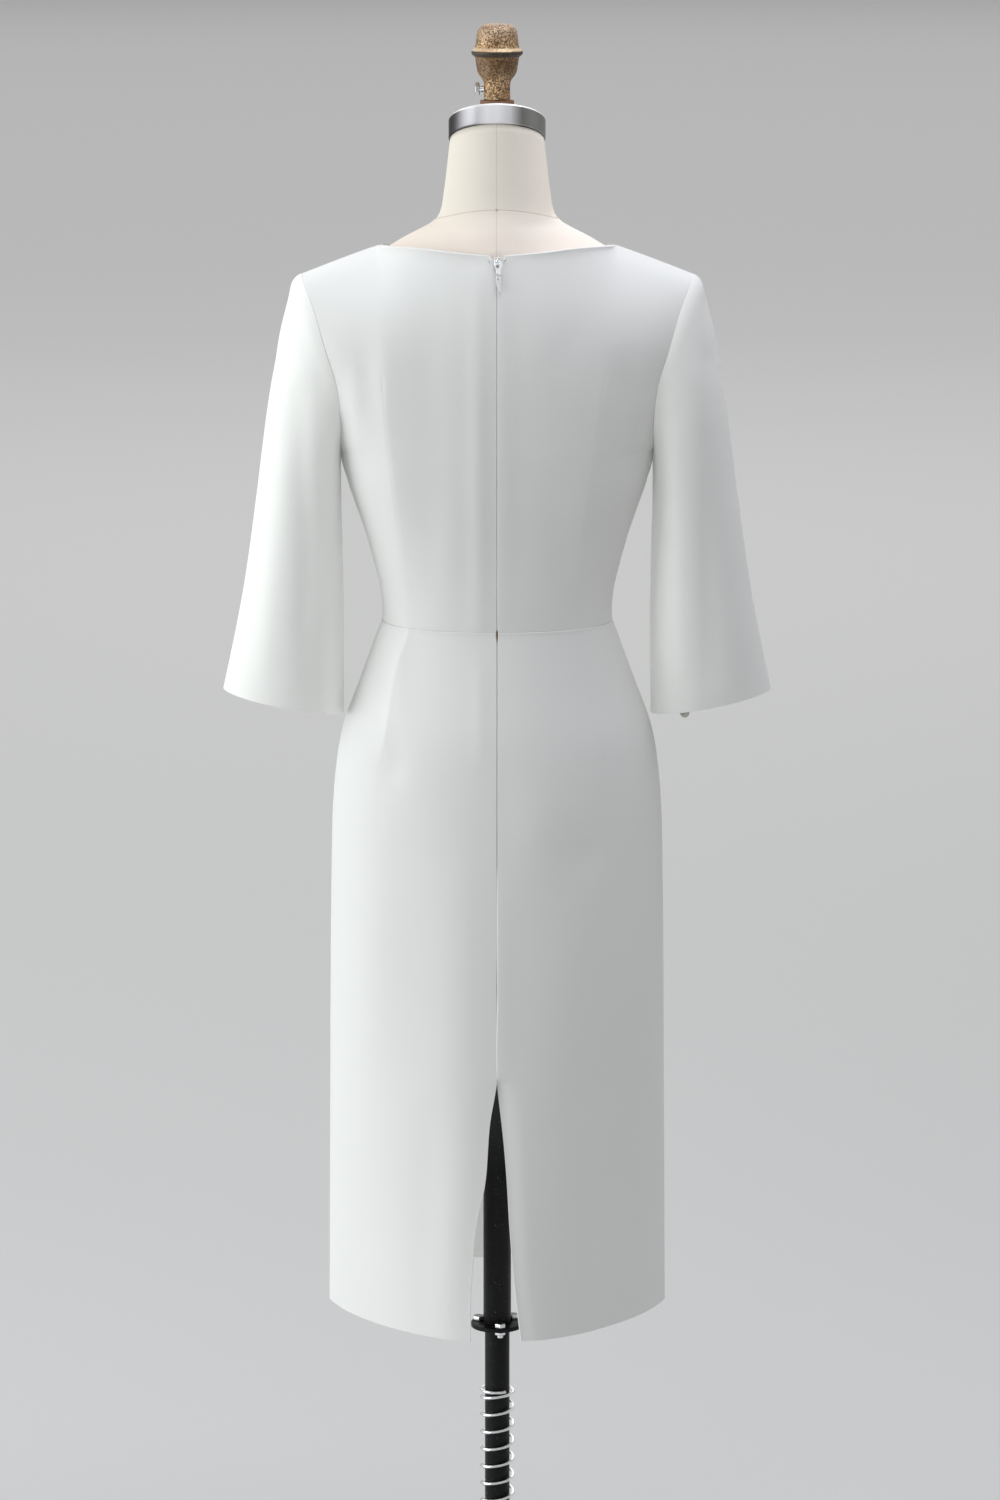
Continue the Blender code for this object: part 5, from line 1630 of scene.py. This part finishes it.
# Painted dark reflections where the surface is seen at a slant.
dark_reflection_at_slant = ((slant - 0.3) * 2.2).clamped()
zinc.feed("Base Color", zinc.mixed(dark_reflection_at_slant, (0.93, 0.95, 0.96), (0.07, 0.07, 0.075)))
zinc.bump(zinc.noise(zinc.object_place(), 900.0, 2.0), 0.00008, 0.4)
black = Finish("paint", (0.010, 0.010, 0.010), 0.35, 0.0, Specular_IOR_Level=0.16)
place = black.object_place()
specks = ((black.noise(place, 900.0, 1.0) - 0.74) * 30.0).clamped()
# Painted light: the tube is greyer high up, inside the skirt.
painted_light_high_up = ((black.parts(place)[2] - (WAIST - 0.56)) * 9.0).clamped()
paint = black.mixed(painted_light_high_up, (0.009, 0.009, 0.009), (0.065, 0.065, 0.067))
black.feed("Base Color", black.mixed(specks, paint, (0.30, 0.30, 0.30)))
chrome = Finish("chrome_wire", (0.93, 0.94, 0.95), 0.12, 1.0)
chrome.bump(chrome.noise(chrome.object_place(), 300.0, 2.0), 0.0001, 0.3)
print("metals and paint mixed")

# %% [markdown]
# ### Zip and button
#
# The pull is painted white. Its hollows hold more shadow than so small a shape gets here, so painted shadow
# darkens its colour in two round spots and at the narrow neck, and slightly over the tail. The zip's tape is
# painted grey as the seam's shade, and painted a brown shade at the waist, where the gap is widest. The
# button is a greenish grey horn.

# %% Zip paint, tape and horn
pearl = Finish("zip_paint", (0.90, 0.91, 0.90), 0.35)
place = pearl.object_place()
pearl.bump(pearl.noise(place, 800.0, 2.0), 0.00005, 0.4)
east, _, upward_place = pearl.parts(place)
below_top = float(slider_place[2]) - upward_place


def shaded_spot(across, down, reach):
    """1 at a place on the pull, falling to 0 at this many metres from it."""
    beside, below = east - across, below_top - down
    return (beside * beside + below * below).line(reach * reach)


recesses = shaded_spot(0.0004, 0.0045, 0.0022).maths("MAXIMUM", shaded_spot(0.0008, 0.0165, 0.0011))
recesses = recesses.maths("MAXIMUM", (below_top - 0.0128).line(0.0016) * 0.6)
recesses = recesses.maths("MAXIMUM", ((below_top - 0.012) * 900.0).clamped() * 0.22)
pearl.feed("Base Color", pearl.mixed(recesses, (0.90, 0.91, 0.90), (0.16, 0.16, 0.15)))
tape = Finish("zip_cloth", (0.70, 0.71, 0.70), 0.8)
tape_height = tape.parts(tape.object_place())[2]
# Painted shade: the tape is grey from the seam's shade, and a brown shade at the waist, where the gap is
# widest.
painted_shade_at_waist = ((tape_height - (WAIST - 0.003)).line(0.011) * 3.0).clamped()
tape.feed("Base Color", tape.mixed(painted_shade_at_waist, (0.34, 0.33, 0.31), (0.30, 0.19, 0.12)))
horn = Finish("button_horn", (0.42, 0.43, 0.37), 0.4)
horn.bump(horn.noise(horn.object_place(), 500.0, 2.0), 0.0001, 0.4)

painted = {
    zinc: ("finial_screw", "slider", "slider_crown", "bolt_1", "bolt_2", "bolt_3"),
    black: ("tube", "flange_disc", "pole_tube", "hub_casting", "base", "clamp_knob"),
    chrome: ("spring_wire",),
    pearl: ("pull",),
    horn: ("button",),
}
for finish, names in painted.items():
    for name in names:
        bpy.data.objects[name].data.materials.append(finish.material)
for tape_slot in frame["nodes"]["zip_tape"].material_slots:
    tape_slot.material = tape.material
print("finishes", len(bpy.data.materials))

# %% [markdown]
# ## How large the cloth was cut
#
# Each panel's size when laid flat is measured along its own grid and printed: as it shows, with its darts
# closed and with no seam allowances. A sleeve's width is measured all round.

# %% Sheets
for name, (piece, flat, area, rests_on) in sheets.items():
    min(area, flat[0] * flat[1])
    print(name, "width and length", [round(each, 3) for each in flat], "area", round(area, 4))

# %% [markdown]
# ## Floor and light
#
# The studio is plain: a wide pale floor that runs out of sight under an even white sky. A large soft lamp on
# the left makes that side of the dress nearly white and leaves the right a light grey, which is what shows
# the cloth's shape. A large one above and a small one over the shoulders light what faces up. A weak one on
# the right, just behind the dress's plane, lifts the skirt's right side, and another to the left of the
# camera fills the rest. Two more light the floor far behind the dress, because that floor is the background,
# and it darkens towards the top as in the photograph.

# %% Floor and light
floor = lathe("floor", [(0.001, -0.002), (60.0, -0.002), (60.0, -0.0005), (0.001, -0.0005)], 128)
pale = Finish("pale_floor", (0.62, 0.62, 0.62), 0.9, Specular_IOR_Level=0.1)
floor.data.materials.append(pale.material)

studio = bpy.data.worlds.new("studio")
bpy.context.scene.world = studio
studio.use_nodes = True
sky = studio.node_tree.nodes["Background"]
sky.inputs["Color"].default_value = (1.0, 1.0, 1.0, 1)
sky.inputs["Strength"].default_value = 0.355


def lamp(name, place, aim, size, power, colour=(1, 1, 1)):
    """A square soft lamp at a place, turned to face a point."""
    light = bpy.data.lights.new(name, "AREA")
    light.shape, light.size, light.energy, light.color = "SQUARE", size, power, colour
    made = bpy.data.objects.new(name, light)
    made.location = place
    made.rotation_euler = (Vector(aim) - Vector(place)).to_track_quat("-Z", "Y").to_euler()
    bpy.context.scene.collection.objects.link(made)


lamp("key", (-4.4, -0.8, 1.6), (0, 0, 0.8), 4.0, 174, (0.95, 1.0, 0.99))
lamp("beside_camera", (-2.8, -4.2, 1.3), (0, 0, 0.95), 3.0, 10, (0.97, 0.99, 1.0))
lamp("above", (0.3, -0.9, 4.2), (0, 0, 1.0), 4.0, 41, (0.93, 0.95, 1.0))
lamp("overhead", (0.5, -0.16, 2.75), (0.08, -0.05, 1.45), 0.8, 10, (0.88, 0.92, 1.0))
lamp("right", (4.5, 0.3, 0.9), (0, 0, 0.8), 3.0, 9)
lamp("backdrop", (0.0, 6.5, 4.0), (0, 6.5, 0), 8.0, 100)
lamp("far_backdrop", (0.0, 22.0, 8.0), (0, 22.0, 0), 34.0, 1750)
bpy.context.scene.view_settings.view_transform = "Standard"
print("light placed")
